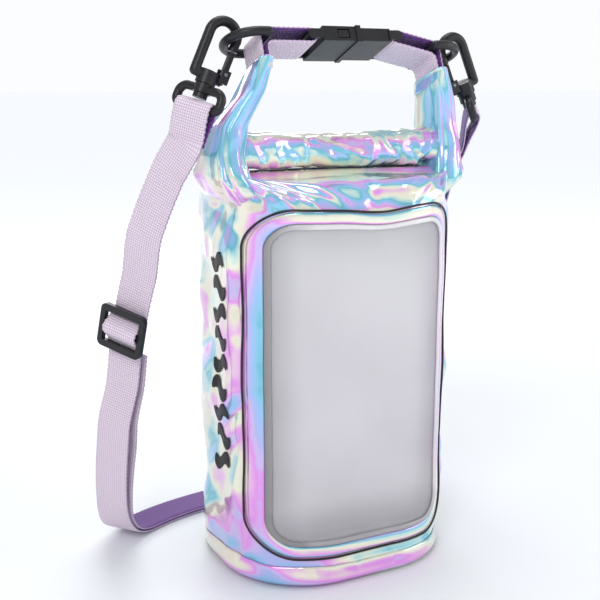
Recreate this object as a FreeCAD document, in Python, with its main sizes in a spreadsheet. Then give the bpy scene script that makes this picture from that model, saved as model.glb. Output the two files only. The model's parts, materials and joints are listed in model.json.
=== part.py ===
import FreeCAD, Part
import math
import os
import Sketcher
from FreeCAD import Placement, Rotation, Vector

# Roll-top dry bag of thin film with a front window, a buckled carrying handle and a shoulder strap.
# Millimetres.  Origin at the centre of the base on the floor, front of the bag towards -Y, +Z up.

doc = FreeCAD.newDocument("DryBag")
sheet = doc.addObject("Spreadsheet::Sheet", "Sizes")

SIZES = [
    # film body
    ("body_half_width", 60.0), ("body_half_depth", 52.0), ("body_corner", 44.0), ("film", 1.5),
    ("body_top", 188.0), ("shoulder_top", "=body_top + 6.5"), ("base_thick", 3.5), ("gap", 0.3),
    ("shoulder_spread", 0.5), ("shoulder_front_set", 4.0), ("shoulder_rear_set", 5.0),
    ("shoulder_corner_set", 6.0), ("open_end", 0.5),
    ("weld_thick", 0.8), ("weld_low", 2.0), ("weld_high", 12.0), ("seam_half_width", 6.0),
    # rolled closure
    ("roll_y", -13.5), ("roll_low", "=body_top + 14"), ("roll_high", "=roll_low + 17.5"),
    ("roll_depth", 22.0), ("roll_half_length", 52.0), ("neck_half_depth", 5.0),
    ("neck_reach", 10.0), ("roll_corner", 7.0), ("roll_turn", 2.2), ("inner_turn", 1.6),
    ("stiffener_thick", 1.5), ("stiffener_depth", "=roll_depth - 12.2"),
    ("stiffener_half_length", "=roll_half_length - 4"),
    # phone pocket in the front
    ("pocket_left", 55.0), ("pocket_right", 50.0), ("pocket_low", 17.0),
    ("pocket_high", "=body_top - 3"), ("pocket_corner", 18.0), ("border", 6.5), ("bead", 2.4),
    ("border_film", 1.0), ("bead_film", 1.5), ("bead_lap", 0.6), ("piping", 1.4),
    ("clear_film", 0.8), ("pocket_depth", 14.0), ("pocket_floor", 18.0),
    ("sleeve_high", "=body_top - 10"),
    # webbing and the handle
    ("webbing_width", 20.0), ("webbing_thick", 1.4), ("handle_y", -14.0),
    ("handle_z", "=roll_low + 58"), ("handle_tilt", 22.0), ("bar_radius", 2.2), ("ring_arm", 4.0),
    ("left_ring_x", -41.0), ("right_ring_x", 48.0), ("right_drop", 5.0), ("leg_spacing", 2.9),
    # ears, the turned-up ends of the roll
    ("ear_film", 0.8), ("ear_foot_reach", 67.0), ("ear_foot_z", "=roll_low + 0.6"),
    ("ear_knee_z", "=roll_high + 0.8"), ("ear_knee_reach", 65.0), ("ear_mouth_drop", 11.0),
    ("ear_tuck", 0.8), ("ear_play", 0.9), ("ear_foot_depth", 20.0), ("ear_fold", 1.2),
    # side-release buckle
    ("socket_bar_x", -18.4), ("socket_back", -13.0), ("socket_mouth", 7.0),
    ("buckle_half_width", "=webbing_width / 2 + 2"), ("socket_half_height", 3.6),
    ("socket_cavity_back", -6.8), ("socket_wall", 1.6), ("socket_roof", 1.4), ("lip_length", 2.6),
    ("lip_rise", 0.5), ("buckle_arm", 1.7), ("window_back", -5.4), ("window_front", 1.0),
    ("plug_bar_x", 28.0), ("plug_end", 23.6), ("plug_side_set", 0.6), ("plug_face_set", 0.4),
    ("guide_tip", -4.0), ("prong_thick", 2.8), ("prong_tip", -5.5), ("prong_half_height", 1.8),
    ("guide_half_width", 2.2), ("barb_root", 0.5), ("barb_set", 0.1), ("slide_gap", 0.4),
    # swivel hooks
    ("hook_lean", 24.0), ("crown_radius", "=bar_radius + 4.6"), ("hook_wire", 2.4), ("crown_w", 21.0),
    ("nose_w", 16.6), ("nose_taper", 0.2), ("yoke_w", 2.0), ("collar_radius", 4.8),
    ("collar_top_w", 4.0), ("collar_play", 0.2), ("post_radius", 2.2), ("post_play", 0.05),
    ("head_radius", 3.4), ("head_thick", 2.3), ("boss_radius", 4.2), ("boss_top_w", -2.2),
    ("boss_low_w", -6.4), ("eye_wire", 2.1), ("eye_bar_w", -13.0), ("eye_top_w", -4.4),
    ("eye_turn", 57.0), ("eye_high_bend", 4.2), ("eye_low_bend", 2.6), ("wire_u", 1.9),
    ("wire_w", 19.2), ("gate_pivot_w", 5.4), ("gate_half_thick", 1.2), ("gate_half_depth", 1.8),
    ("knuckle_radius", 1.6), ("knuckle_room", 2.0), ("pin_radius", 0.8), ("rivet_rise", 0.5),
    ("cheek", 1.2), ("cheek_half", 2.2),
    # shoulder strap and its slider
    ("sewn_loop", 17.0), ("sewn_middle", 12.0), ("sewn_top", 5.0), ("sewn_half", 1.0),
    ("sewn_middle_half", 1.3), ("sewn_top_half", 2.8), ("layer_step", 2.1), ("layer_end", 13.0),
    ("weave_reach", 14.0), ("weave_slot", 6.8), ("weave_bar", 1.6), ("weave_rise", 0.7),
    ("slider_half_width", "=webbing_width / 2 + 3.5"), ("slider_half_length", 11.0),
    ("slider_thick", 3.0), ("slider_bar", 3.5), ("slider_mid_bar", 3.6), ("slider_rim", 2.9),
    ("slider_corner", 3.0),
]
for row, (alias, value) in enumerate(SIZES, start=1):
    sheet.set(f"A{row}", alias)
    sheet.set(f"B{row}", str(value))
    sheet.setAlias(f"B{row}", alias)
doc.recompute()


class Size:
    """A length with the sheet expression that it comes from, so a sum of sizes stays parametric."""

    def __init__(self, value, text=None):
        self.value = value
        self.text = text if text else repr(value)

    def join(self, other, sign, value, first):
        other = other if isinstance(other, Size) else Size(float(other))
        left, right = (self, other) if first else (other, self)
        return Size(value(left.value, right.value), f"({left.text} {sign} {right.text})")

    def __add__(self, other):
        return self.join(other, "+", lambda a, b: a + b, True)

    def __radd__(self, other):
        return self.join(other, "+", lambda a, b: a + b, False)

    def __sub__(self, other):
        return self.join(other, "-", lambda a, b: a - b, True)

    def __rsub__(self, other):
        return self.join(other, "-", lambda a, b: a - b, False)

    def __mul__(self, other):
        return self.join(other, "*", lambda a, b: a * b, True)

    def __rmul__(self, other):
        return self.join(other, "*", lambda a, b: a * b, False)

    def __truediv__(self, other):
        return self.join(other, "/", lambda a, b: a / b, True)

    def __neg__(self):
        return Size(0.0) - self


def cell(alias):
    return Size(float(sheet.get(alias)), f"Sizes.{alias}")


def num(alias):
    return float(sheet.get(alias))


PIECES = {}


def keep(node, obj):
    """Name a finished sub-part."""
    obj.Label = node
    PIECES[node] = obj
    return obj


def bind(obj, prop, size):
    obj.setExpression(prop, size.text if isinstance(size, Size) else repr(float(size)))


def seat(obj, at):
    for axis, size in zip("xyz", at):
        bind(obj, f"Placement.Base.{axis}", size)


# Sketch planes: front view (x to X, y to Z, normal -Y) and end view (x to Y, y to Z, normal +X)
FRONT = Rotation(Vector(1, 0, 0), 90)
END = Rotation(Vector(1, 1, 1), 120)
PLAN = Rotation()


def rounded_sketch(name, plane, left, right, low, high, corner):
    """A rounded rectangle sketch.  The four sides and the corner radius are bound to sizes."""
    sk = doc.addObject("Sketcher::SketchObject", name)
    sk.Placement = Placement(Vector(), plane)
    x0, x1, y0, y1, r = left.value, right.value, low.value, high.value, corner.value
    line, arc = Part.LineSegment, Part.ArcOfCircle
    quarter = math.pi / 2

    def bend(cx, cy, start):
        circle = Part.Circle(Vector(cx, cy, 0), Vector(0, 0, 1), r)
        return arc(circle, start * quarter, (start + 1) * quarter)

    sk.addGeometry([
        line(Vector(x0 + r, y0, 0), Vector(x1 - r, y0, 0)), bend(x1 - r, y0 + r, 3),
        line(Vector(x1, y0 + r, 0), Vector(x1, y1 - r, 0)), bend(x1 - r, y1 - r, 0),
        line(Vector(x1 - r, y1, 0), Vector(x0 + r, y1, 0)), bend(x0 + r, y1 - r, 1),
        line(Vector(x0, y1 - r, 0), Vector(x0, y0 + r, 0)), bend(x0 + r, y0 + r, 2),
    ], False)
    constraint = Sketcher.Constraint
    for k in range(8):
        first_point = 2
        sk.addConstraint(constraint("Tangent", k, first_point, (k + 1) % 8, 1))
    sk.addConstraint([constraint("Horizontal", 0), constraint("Horizontal", 4),
                      constraint("Vertical", 2), constraint("Vertical", 6)])
    sk.addConstraint([constraint("Equal", 1, 3), constraint("Equal", 3, 5), constraint("Equal", 5, 7)])
    for label, kind, geometry, number, size in [
            ("right", "DistanceX", 2, x1, right), ("high", "DistanceY", 4, y1, high),
            ("left", "DistanceX", 6, x0, left), ("low", "DistanceY", 0, y0, low)]:
        index = sk.addConstraint(constraint(kind, -1, 1, geometry, 1, number))
        sk.renameConstraint(index, label)
        sk.setExpression(f"Constraints.{label}", size.text)
    index = sk.addConstraint(constraint("Radius", 1, r))
    sk.renameConstraint(index, "corner")
    sk.setExpression("Constraints.corner", corner.text)
    return sk


def extrude(name, sketch, length, lift=None):
    """Push a sketch along its normal.  lift is where it starts along that normal."""
    ex = doc.addObject("Part::Extrusion", name)
    ex.Base = sketch
    ex.DirMode = "Normal"
    ex.Solid = True
    bind(ex, "LengthFwd", length)
    if lift is not None:
        bind(ex, "LengthRev", -lift)
    return ex


def boolean(kind, name, parts):
    obj = doc.addObject(f"Part::{kind}", name)
    if kind in ("Cut", "Common"):
        obj.Base, obj.Tool = parts
    else:
        obj.Shapes = parts
    return obj


def cut(name, base, tool):
    return boolean("Cut", name, [base, tool])


def common(name, base, tool):
    return boolean("Common", name, [base, tool])


def fuse(name, parts):
    return boolean("MultiFuse", name, parts)


def box(name, x, y, z):
    """A box between pairs of bounds."""
    obj = doc.addObject("Part::Box", name)
    for prop, (low, high) in zip(("Length", "Width", "Height"), (x, y, z)):
        bind(obj, prop, high - low)
    seat(obj, (x[0], y[0], z[0]))
    return obj


AXIS = {"x": Rotation(Vector(0, 1, 0), 90), "y": Rotation(Vector(1, 0, 0), -90), "z": Rotation()}


def rod(name, radius, start, length, along):
    """A cylinder that starts at a point and runs along one axis."""
    obj = doc.addObject("Part::Cylinder", name)
    obj.Placement = Placement(Vector(), AXIS[along])
    bind(obj, "Radius", radius)
    bind(obj, "Height", length)
    seat(obj, start)
    return obj


def ball(name, radius, at):
    obj = doc.addObject("Part::Sphere", name)
    bind(obj, "Radius", radius)
    seat(obj, at)
    return obj


def half_ring(name, radius, wire, at, turn):
    """Half a torus."""
    obj = doc.addObject("Part::Torus", name)
    obj.Placement = Placement(Vector(), turn)
    bind(obj, "Radius1", radius)
    bind(obj, "Radius2", wire)
    obj.Angle3 = 180
    seat(obj, at)
    return obj


def shape_piece(node, shape, placement=None):
    """A sub-part whose shape is computed from the sheet's sizes."""
    obj = doc.addObject("Part::Feature", node)
    obj.Shape = shape
    if placement is not None:
        obj.Placement = placement
    return keep(node, obj)


# ---------------------------------------------------------------- film body

ZERO = Size(0.0)
gap = cell("gap")
half_w, half_d, corner = cell("body_half_width"), cell("body_half_depth"), cell("body_corner")


def ring_prism(name, offset, low, high):
    """The body's plan grown by offset, as a prism between two heights."""
    plan = rounded_sketch(f"{name}_plan", PLAN, -(half_w + offset), half_w + offset,
                          -(half_d + offset), half_d + offset, corner + offset)
    return extrude(name, plan, high, low)


def plan_wire(x0, x1, y0, y1, radius, z):
    """A rounded rectangle at one height, as four sides and four arcs."""
    points = [(x1 - radius, y0 + radius, 270), (x1 - radius, y1 - radius, 0),
              (x0 + radius, y1 - radius, 90), (x0 + radius, y0 + radius, 180)]
    edges = []
    for k, (cx, cy, start) in enumerate(points):
        a, m, b = [Vector(cx + radius * math.cos(math.radians(t)),
                          cy + radius * math.sin(math.radians(t)), z)
                   for t in (start, start + 45, start + 90)]
        edges.append(Part.Arc(a, m, b).toShape())
        nx, ny, nstart = points[(k + 1) % 4]
        c = Vector(nx + radius * math.cos(math.radians(nstart)),
                   ny + radius * math.sin(math.radians(nstart)), z)
        edges.append(Part.LineSegment(b, c).toShape())
    return Part.Wire(edges)


def body_skin(inset, drop):
    """The closed outer form of the tube, or of the space in it when inset is the film."""
    w, d, r = num("body_half_width") - inset, num("body_half_depth") - inset, num("body_corner") - inset
    neck_w = num("roll_half_length") + num("neck_reach") - inset
    neck_d = num("neck_half_depth") - inset
    past = num("open_end") if inset else 0.0
    base_z = num("base_thick") + num("gap") - past
    neck_z = num("roll_low") - num("gap") + past
    y = num("roll_y")
    front, rear = num("shoulder_front_set"), num("shoulder_rear_set")
    spread, shoulder_r = num("shoulder_spread"), r - num("shoulder_corner_set")
    wires = [
        plan_wire(-w, w, -d, d, r, base_z),
        plan_wire(-w, w, -d, d, r, num("body_top") - drop),
        plan_wire(-w - spread, w + spread, -d + front, d - rear, shoulder_r, num("shoulder_top") - drop),
        plan_wire(-neck_w, neck_w, y - neck_d, y + neck_d, neck_d - 0.1, neck_z),
    ]
    return Part.makeLoft(wires, True, True)


def pocket_rect(grow, name, depth):
    """The pocket's outline seen from the front, grown or shrunk, pushed back to a depth."""
    flat = rounded_sketch(
        f"{name}_front", FRONT, -(cell("pocket_left") + grow), cell("pocket_right") + grow,
        cell("pocket_low") - grow, cell("pocket_high") + grow, cell("pocket_corner") + grow)
    return extrude(name, flat, depth)


def front_layer(node, inner, outer, shrink_out, shrink_in):
    """A layer that follows the curved front between two offsets, cut to the pocket's outline."""
    low, high = cell("base_thick"), cell("body_top") + 3
    shell = cut(f"{node}_shell", ring_prism(f"{node}_over", outer, low, high),
                ring_prism(f"{node}_under", inner, low - 1, high + 1))
    sheet_part = common(f"{node}_sheet", shell,
                        pocket_rect(-shrink_out, f"{node}_outline", half_d + 20))
    if shrink_in is None:
        return keep(node, sheet_part)
    hole = pocket_rect(-shrink_in, f"{node}_hole", half_d + 20)
    return keep(node, cut(f"{node}_ring", sheet_part, hole))


def build_body():
    film = num("film")
    skin = body_skin(0.0, 0.0).cut(body_skin(film, film))
    tube = doc.addObject("Part::Feature", "tube_skin")
    tube.Shape = skin
    window = pocket_rect(-cell("border"), "tube_window", half_d + 20)
    keep("body_tube", cut("body_tube_cut", tube, window))
    keep("base_panel", ring_prism("base_disc", ZERO, ZERO, cell("base_thick")))
    band = cut("band", ring_prism("band_out", gap + cell("weld_thick"), cell("weld_low"), cell("weld_high")),
               ring_prism("band_in", gap, cell("weld_low") - 1, cell("weld_high") + 1))
    keep("base_weld_band", band)
    seam = cell("seam_half_width")
    rear = half_d + gap
    keep("rear_seam", box("seam", (-seam, seam), (rear, rear + cell("weld_thick")),
                          (cell("weld_high") + gap, cell("body_top") - 2)))


def build_pocket():
    border, bead = cell("border"), cell("bead")
    front_layer("window_frame", gap, gap + cell("border_film"), ZERO, border - bead)
    front_layer("window_weld_bead", gap, gap + cell("bead_film"), border - bead + gap,
                border + cell("bead_lap"))
    front_layer("window_film", -cell("clear_film"), ZERO, border + gap, None)
    front_layer("pocket_piping", gap, gap + cell("piping"), -(cell("piping") + gap), -gap)
    # inner wall of the pocket: a flat clear sheet across the front with a floor
    inside = -(cell("film") + gap)
    back_y = -(half_d - cell("film") - cell("pocket_depth"))
    clear = cell("clear_film")
    room = ring_prism("sleeve_room", inside, cell("pocket_floor"), cell("sleeve_high"))
    wall = box("sleeve_wall", (-half_w, half_w), (back_y, back_y + clear),
               (cell("pocket_floor"), cell("sleeve_high")))
    floor = box("sleeve_floor", (-half_w, half_w), (-half_d, back_y + clear),
                (cell("pocket_floor"), cell("pocket_floor") + clear))
    keep("phone_sleeve", common("sleeve_cut", fuse("sleeve_both", [wall, floor]), room))


def roll_tube(name, inset, wall, half_length):
    """One turn of the roll: a rounded rectangle tube along X."""
    centre, depth = cell("roll_y"), cell("roll_depth") / 2
    low, high, r = cell("roll_low"), cell("roll_high"), cell("roll_corner")

    def prism(label, shrink, length):
        end = rounded_sketch(f"{label}_end", END, centre - (depth - shrink), centre + (depth - shrink),
                             low + shrink, high - shrink, r - shrink)
        return extrude(label, end, length, -length)

    return cut(name, prism(f"{name}_out", inset, half_length),
               prism(f"{name}_in", inset + wall, half_length + 1))


def build_roll():
    turn, inner, half = cell("roll_turn"), cell("inner_turn"), cell("roll_half_length")
    keep("rolled_closure", roll_tube("turn", ZERO, turn, half))
    keep("roll_inner_turn", roll_tube("inner", turn + gap, inner, half - 1))
    floor = cell("roll_low") + turn + gap + inner + gap
    reach, depth = cell("stiffener_half_length"), cell("stiffener_depth") / 2
    y = cell("roll_y")
    for name, level in (("closure_stiffener_lower", 0), ("closure_stiffener_upper", 1)):
        low = floor + level * (cell("stiffener_thick") + gap)
        keep(name, box(name + "_strip", (-reach, reach), (y - depth, y + depth),
                       (low, low + cell("stiffener_thick"))))


# ---------------------------------------------------------------- handle frame

HANDLE_TURN = Rotation(Vector(1, 0, 0), -num("handle_tilt"))


def handle_place(x=0.0, z=0.0):
    """Where a point (x, 0, z) of the tilted handle lies, with the handle's tilt."""
    base = Vector(0, num("handle_y"), num("handle_z"))
    return Placement(base + HANDLE_TURN.multVec(Vector(x, 0, z)), HANDLE_TURN)


def build_ear(node, side, ring_x, drop):
    """A turned-up end of the roll: a flattened film sleeve that narrows to the webbing's legs."""
    thick, clear, film = num("webbing_thick"), num("gap"), num("ear_film")
    outer_leg = ring_x + side * (num("bar_radius") + clear + thick / 2)
    inner_leg = outer_leg - side * num("leg_spacing")
    mouth = -num("ear_mouth_drop") - drop
    roll_y, deep = num("roll_y"), num("ear_foot_depth") / 2
    half_webbing, fold = num("webbing_width") / 2, num("ear_fold")
    inner_x = num("roll_half_length") + clear

    def form(inset, rise):
        """The sleeve's outside, or the space in it when inset is the film."""
        grow = num("ear_play") + film - inset
        foot = sorted([side * (inner_x + inset), side * (num("ear_foot_reach") - inset)])
        knee = sorted([side * (inner_x + inset), side * (num("ear_knee_reach") - inset)])
        top = sorted([outer_leg + side * (thick / 2 + grow), inner_leg - side * (thick / 2 + grow)])
        front, rear = roll_y - deep + inset, roll_y + deep - inset
        lip = plan_wire(top[0], top[1], -half_webbing - grow, half_webbing + grow, fold, mouth + rise)
        lip.transformShape(handle_place().toMatrix())
        return Part.makeLoft([
            plan_wire(foot[0], foot[1], front, rear, fold, num("ear_foot_z") - rise),
            plan_wire(knee[0], knee[1], front, rear, fold, num("ear_knee_z")),
            lip,
        ], True, True)

    shape_piece(node, form(0.0, 0.0).cut(form(film, 0.01)))


def rounded_path(points, radii):
    """Straight runs through the points with a tangent arc of the given radius at each corner."""
    edges = []
    start = points[0]
    for k in range(1, len(points) - 1):
        here = points[k]
        back = (points[k - 1] - here).normalize()
        ahead = (points[k + 1] - here).normalize()
        half = back.getAngle(ahead) / 2
        reach = radii[k - 1] / math.tan(half)
        middle = (back + ahead).normalize() * (radii[k - 1] / math.sin(half) - radii[k - 1])
        enter, leave = here + back * reach, here + ahead * reach
        if (enter - start).Length > 1e-6:
            edges.append(Part.LineSegment(start, enter).toShape())
        edges.append(Part.Arc(enter, here + middle, leave).toShape())
        start = leave
    edges.append(Part.LineSegment(start, points[-1]).toShape())
    return Part.Wire(edges)


def webbing_band(path, start, direction, across, width, thick):
    """Webbing of a rectangular section swept along a flat path."""
    normal = across.cross(direction).normalize()
    corners = [start + across * (a * width / 2) + normal * (b * thick / 2)
               for a, b in ((-1, -1), (1, -1), (1, 1), (-1, 1), (-1, -1))]
    return path.makePipeShell([Part.makePolygon(corners)], True, False)


def build_tab(node, side, buckle_x, ring_x, drop):
    """The webbing that leaves an ear, goes round the ring's bar and the buckle's bar, and returns."""
    thick = num("webbing_thick")
    bend = num("bar_radius") + num("gap") + thick / 2
    ring = Vector(ring_x, 0, -drop)
    bar = Vector(buckle_x, 0, 0)
    along = (bar - ring).normalize()
    up = Vector(-along.z, 0, along.x) * (-side)
    outer_x = ring_x + side * bend
    inner_x = outer_x - side * num("leg_spacing")
    foot = -num("ear_mouth_drop") - num("ear_tuck") - drop

    def on_line(offset, x):
        """The point at x on the line beside the two bars."""
        start = ring + up * offset
        return start + along * ((x - start.x) / along.x)

    points = [Vector(outer_x, 0, foot), on_line(bend, outer_x), bar + (up + along) * bend,
              bar + (along - up) * bend, on_line(-bend, inner_x), Vector(inner_x, 0, foot)]
    path = rounded_path(points, [bend, bend - 1e-4, bend - 1e-4, num("leg_spacing")])
    band = webbing_band(path, points[0], Vector(0, 0, 1), Vector(0, 1, 0), num("webbing_width"), thick)
    shape_piece(node, band, handle_place())


def build_ring(node, side, ring_x, drop):
    """A moulded D-ring: a straight bar, two arms and a half-round bow."""
    wire = cell("bar_radius")
    bow = cell("webbing_width") / 2 + wire + gap
    arm = cell("ring_arm")
    out = -1 if side < 0 else 1
    parts = [rod(f"{node}_bar", wire, (ZERO, -bow, ZERO), bow * 2, "y")]
    for k, y in enumerate((-bow, bow)):
        parts.append(ball(f"{node}_corner{k}", wire, (ZERO, y, ZERO)))
        start = -arm if out < 0 else ZERO
        parts.append(rod(f"{node}_arm{k}", wire, (start, y, ZERO), arm, "x"))
    turn = Rotation(Vector(0, 0, 1), 90 if out < 0 else -90)
    parts.append(half_ring(f"{node}_bow", bow, wire, (arm * out, ZERO, ZERO), turn))
    ring = fuse(f"{node}_all", parts)
    ring.Placement = handle_place(ring_x, -drop)
    keep(node, ring)


# ---------------------------------------------------------------- side-release buckle


def build_socket():
    wide, tall = cell("buckle_half_width"), cell("socket_half_height")
    back, mouth, bar_x = cell("socket_back"), cell("socket_mouth"), cell("socket_bar_x")
    bar, wall, rise = cell("bar_radius"), cell("socket_wall"), cell("lip_rise")
    arm, hollow = cell("buckle_arm"), tall - cell("socket_roof")
    shell = box("socket_block", (back, mouth), (-wide, wide), (-tall, tall))
    lip = box("socket_lip", (mouth - cell("lip_length"), mouth), (-wide - rise, wide + rise),
              (-tall - rise, tall + rise))
    room = box("socket_room", (cell("socket_cavity_back"), mouth + 1), (-wide + wall, wide - wall),
               (-hollow, hollow))
    sides = box("socket_sides", (cell("window_back"), cell("window_front")), (-wide - 2, wide + 2),
                (-hollow, hollow))
    body = cut("socket_open", fuse("socket_outer", [shell, lip]), fuse("socket_voids", [room, sides]))
    arms = [box(f"socket_arm{k}", (bar_x, back + 1), (y0, y1), (-bar, bar))
            for k, (y0, y1) in enumerate(((-wide, -wide + arm), (wide - arm, wide)))]
    rods = rod("socket_bar", bar, (bar_x, -wide, ZERO), wide * 2, "y")
    socket = fuse("socket_all", [body, rods] + arms)
    socket.Placement = handle_place()
    keep("buckle_socket", socket)


def build_plug():
    wide, tall = cell("buckle_half_width"), cell("socket_half_height")
    mouth, bar_x, end = cell("socket_mouth"), cell("plug_bar_x"), cell("plug_end")
    bar, guide, high = cell("bar_radius"), cell("guide_half_width"), cell("prong_half_height")
    root, arm = mouth + gap, cell("buckle_arm")
    side_set, face_set = cell("plug_side_set"), cell("plug_face_set")
    block = box("plug_block", (root, end), (-wide + side_set, wide - side_set),
                (-tall + face_set, tall - face_set))
    tongue = box("plug_guide", (cell("guide_tip"), root + 1), (-guide, guide), (-high, high))
    arms = [box(f"plug_arm{k}", (end - 1, bar_x), (y0, y1), (-bar, bar))
            for k, (y0, y1) in enumerate(((-wide, -wide + arm), (wide - arm, wide)))]
    rods = rod("plug_bar", bar, (bar_x, -wide, ZERO), wide * 2, "y")
    plug = fuse("plug_all", [block, tongue, rods] + arms)
    plug.Placement = handle_place()
    keep("buckle_plug", plug)
    # each prong ends in a barb that stands in the socket's side window
    outer = wide - cell("socket_wall") - cell("slide_gap")
    inner = outer - cell("prong_thick")
    barb_x = (cell("window_back") + cell("slide_gap"), cell("window_front") - cell("slide_gap"))
    barb_low, barb_high = outer - cell("barb_root"), wide - cell("barb_set")
    for node, side in (("buckle_prong_front", -1), ("buckle_prong_rear", 1)):
        span = (inner, outer) if side > 0 else (-outer, -inner)
        barb = (barb_low, barb_high) if side > 0 else (-barb_high, -barb_low)
        arm = box(f"{node}_arm", (cell("prong_tip"), mouth), span, (-high, high))
        tooth = box(f"{node}_barb", barb_x, barb, (-high, high))
        prong = fuse(f"{node}_all", [arm, tooth])
        prong.Placement = handle_place()
        keep(node, prong)


# ---------------------------------------------------------------- swivel hooks

HOOK_SIDES = {"left": (-1, num("left_ring_x"), 0.0), "right": (1, num("right_ring_x"), num("right_drop"))}


def ring_bow_centre(side, ring_x, drop):
    """The middle of the ring's bow wire, where the hook hangs."""
    reach = num("ring_arm") + num("webbing_width") / 2 + num("bar_radius") + num("gap")
    return handle_place(ring_x + side * reach, -drop).Base


def hook_place(side, ring_x, drop):
    """The hook's frame: w up its stem, leaning in towards the bag; u points at the bag."""
    turn = Rotation(Vector(0, 1, 0), -side * num("hook_lean"))
    hang = ring_bow_centre(side, ring_x, drop)
    return Placement(hang - turn.multVec(Vector(-side * num("wire_u"), 0, num("wire_w"))), turn)


def build_hook(name, side, ring_x, drop):
    place = hook_place(side, ring_x, drop)
    bag = -side
    crown, wire, top = cell("crown_radius"), cell("hook_wire"), cell("crown_w")
    pivot, deep, thick = cell("gate_pivot_w"), cell("gate_half_depth"), cell("gate_half_thick")
    collar, post, pin = cell("collar_radius"), cell("post_radius"), cell("pin_radius")
    yoke, boss_high, boss_low = cell("yoke_w"), cell("boss_top_w"), cell("boss_low_w")
    collar_low, head_thick = boss_high + cell("collar_play"), cell("head_thick")
    gate_u = crown * bag
    prefix = f"{name}_hook"
    cheek_low, cheek_high = deep + gap, deep + gap + cell("cheek")
    u_pair = (gate_u - cell("cheek_half"), gate_u + cell("cheek_half"))
    parts = [
        rod(f"{prefix}_stem", wire, (-gate_u, ZERO, yoke), top - yoke, "z"),
        ball(f"{prefix}_heel", wire, (-gate_u, ZERO, yoke)),
        half_ring(f"{prefix}_crown", crown, wire, (ZERO, ZERO, top), Rotation(Vector(1, 0, 0), 90)),
        rod(f"{prefix}_nose", wire - cell("nose_taper"), (gate_u, ZERO, cell("nose_w")),
            top - cell("nose_w"), "z"),
        rod(f"{prefix}_yoke", wire, (-crown, ZERO, yoke), crown * 2, "x"),
        rod(f"{prefix}_collar", collar, (ZERO, ZERO, collar_low), cell("collar_top_w") - boss_high, "z"),
        rod(f"{prefix}_post", post, (ZERO, ZERO, boss_low - gap), boss_high - boss_low + 1, "z"),
        rod(f"{prefix}_head", cell("head_radius"),
            (ZERO, ZERO, boss_low - cell("collar_play") - head_thick), head_thick, "z"),
        box(f"{prefix}_cheek0", u_pair, (-cheek_high, -cheek_low), (yoke - 1, pivot + 2)),
        box(f"{prefix}_cheek1", u_pair, (cheek_low, cheek_high), (yoke - 1, pivot + 2)),
    ]
    hinge_hole = rod(f"{prefix}_bore", pin + cell("post_play"), (gate_u, -cheek_high - 1, pivot),
                     cheek_high * 2 + 2, "y")
    swing_room = rod(f"{prefix}_room", cell("knuckle_room"), (gate_u, -deep - gap, pivot),
                     (deep + gap) * 2, "y")
    voids = fuse(f"{prefix}_voids", [hinge_hole, swing_room])
    hook = cut(f"{prefix}_cut", fuse(f"{prefix}_all", parts), voids)
    hook.Placement = place
    keep(f"{name}_hook_body", hook)

    gate_parts = [
        box(f"{prefix}_leaf", (gate_u - thick, gate_u + thick), (-deep, deep),
            (pivot, cell("nose_w") - cell("slide_gap"))),
        rod(f"{prefix}_knuckle", cell("knuckle_radius"), (gate_u, -deep, pivot), deep * 2, "y"),
    ]
    gate_bore = rod(f"{prefix}_gate_bore", pin + cell("post_play"), (gate_u, -deep - 1, pivot),
                    deep * 2 + 2, "y")
    gate = cut(f"{prefix}_gate_cut", fuse(f"{prefix}_gate_all", gate_parts), gate_bore)
    gate.Placement = place
    keep(f"{name}_hook_gate", gate)
    pin_rod = rod(f"{prefix}_pin", pin, (gate_u, -cheek_high, pivot), cheek_high * 2, "y")
    rise = cell("rivet_rise")
    rivet = rod(f"{prefix}_rivet", pin + rise, (gate_u, cheek_high, pivot), rise, "y")
    gate_pin = fuse(f"{prefix}_pin_all", [pin_rod, rivet])
    gate_pin.Placement = place
    keep(f"{name}_gate_pin", gate_pin)

    build_eye(name, side, place)


def build_eye(name, side, place):
    """The swivel eye: a rounded loop for the webbing, with a boss round the hook's post."""
    wire, bar_w, top_w = num("eye_wire"), num("eye_bar_w"), num("eye_top_w")
    half = num("webbing_width") / 2 + wire + num("gap")
    high_bend, low_bend = num("eye_high_bend"), num("eye_low_bend")
    boss_low, boss_high = num("boss_low_w"), num("boss_top_w")
    loop = [Vector(0, 0, bar_w), Vector(half, 0, bar_w), Vector(half, 0, top_w),
            Vector(-half, 0, top_w), Vector(-half, 0, bar_w), Vector(0, 0, bar_w)]
    path = rounded_path(loop, [low_bend, high_bend, high_bend, low_bend])
    section = Part.Wire(Part.Circle(Vector(0, 0, bar_w), Vector(1, 0, 0), wire).toShape())
    ring = path.makePipeShell([section], True, False)
    up = Vector(0, 0, 1)
    boss = Part.makeCylinder(num("boss_radius"), boss_high - boss_low, Vector(0, 0, boss_low), up)
    bore = Part.makeCylinder(num("post_radius") + num("post_play"), boss_high - boss_low + 4,
                             Vector(0, 0, boss_low - 2), up)
    trim_top = Part.makeCylinder(num("collar_radius") + 1, 3, Vector(0, 0, boss_high), up)
    trim_low = Part.makeCylinder(num("head_radius") + 0.5, 3, Vector(0, 0, boss_low - 3), up)
    eye = ring.fuse(boss).cut(bore).cut(trim_top).cut(trim_low)
    turn = Placement(Vector(), Rotation(Vector(0, 0, 1), side * num("eye_turn")))
    shape_piece(f"{name}_swivel_eye", eye, place.multiply(turn))


# ---------------------------------------------------------------- shoulder strap

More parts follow.
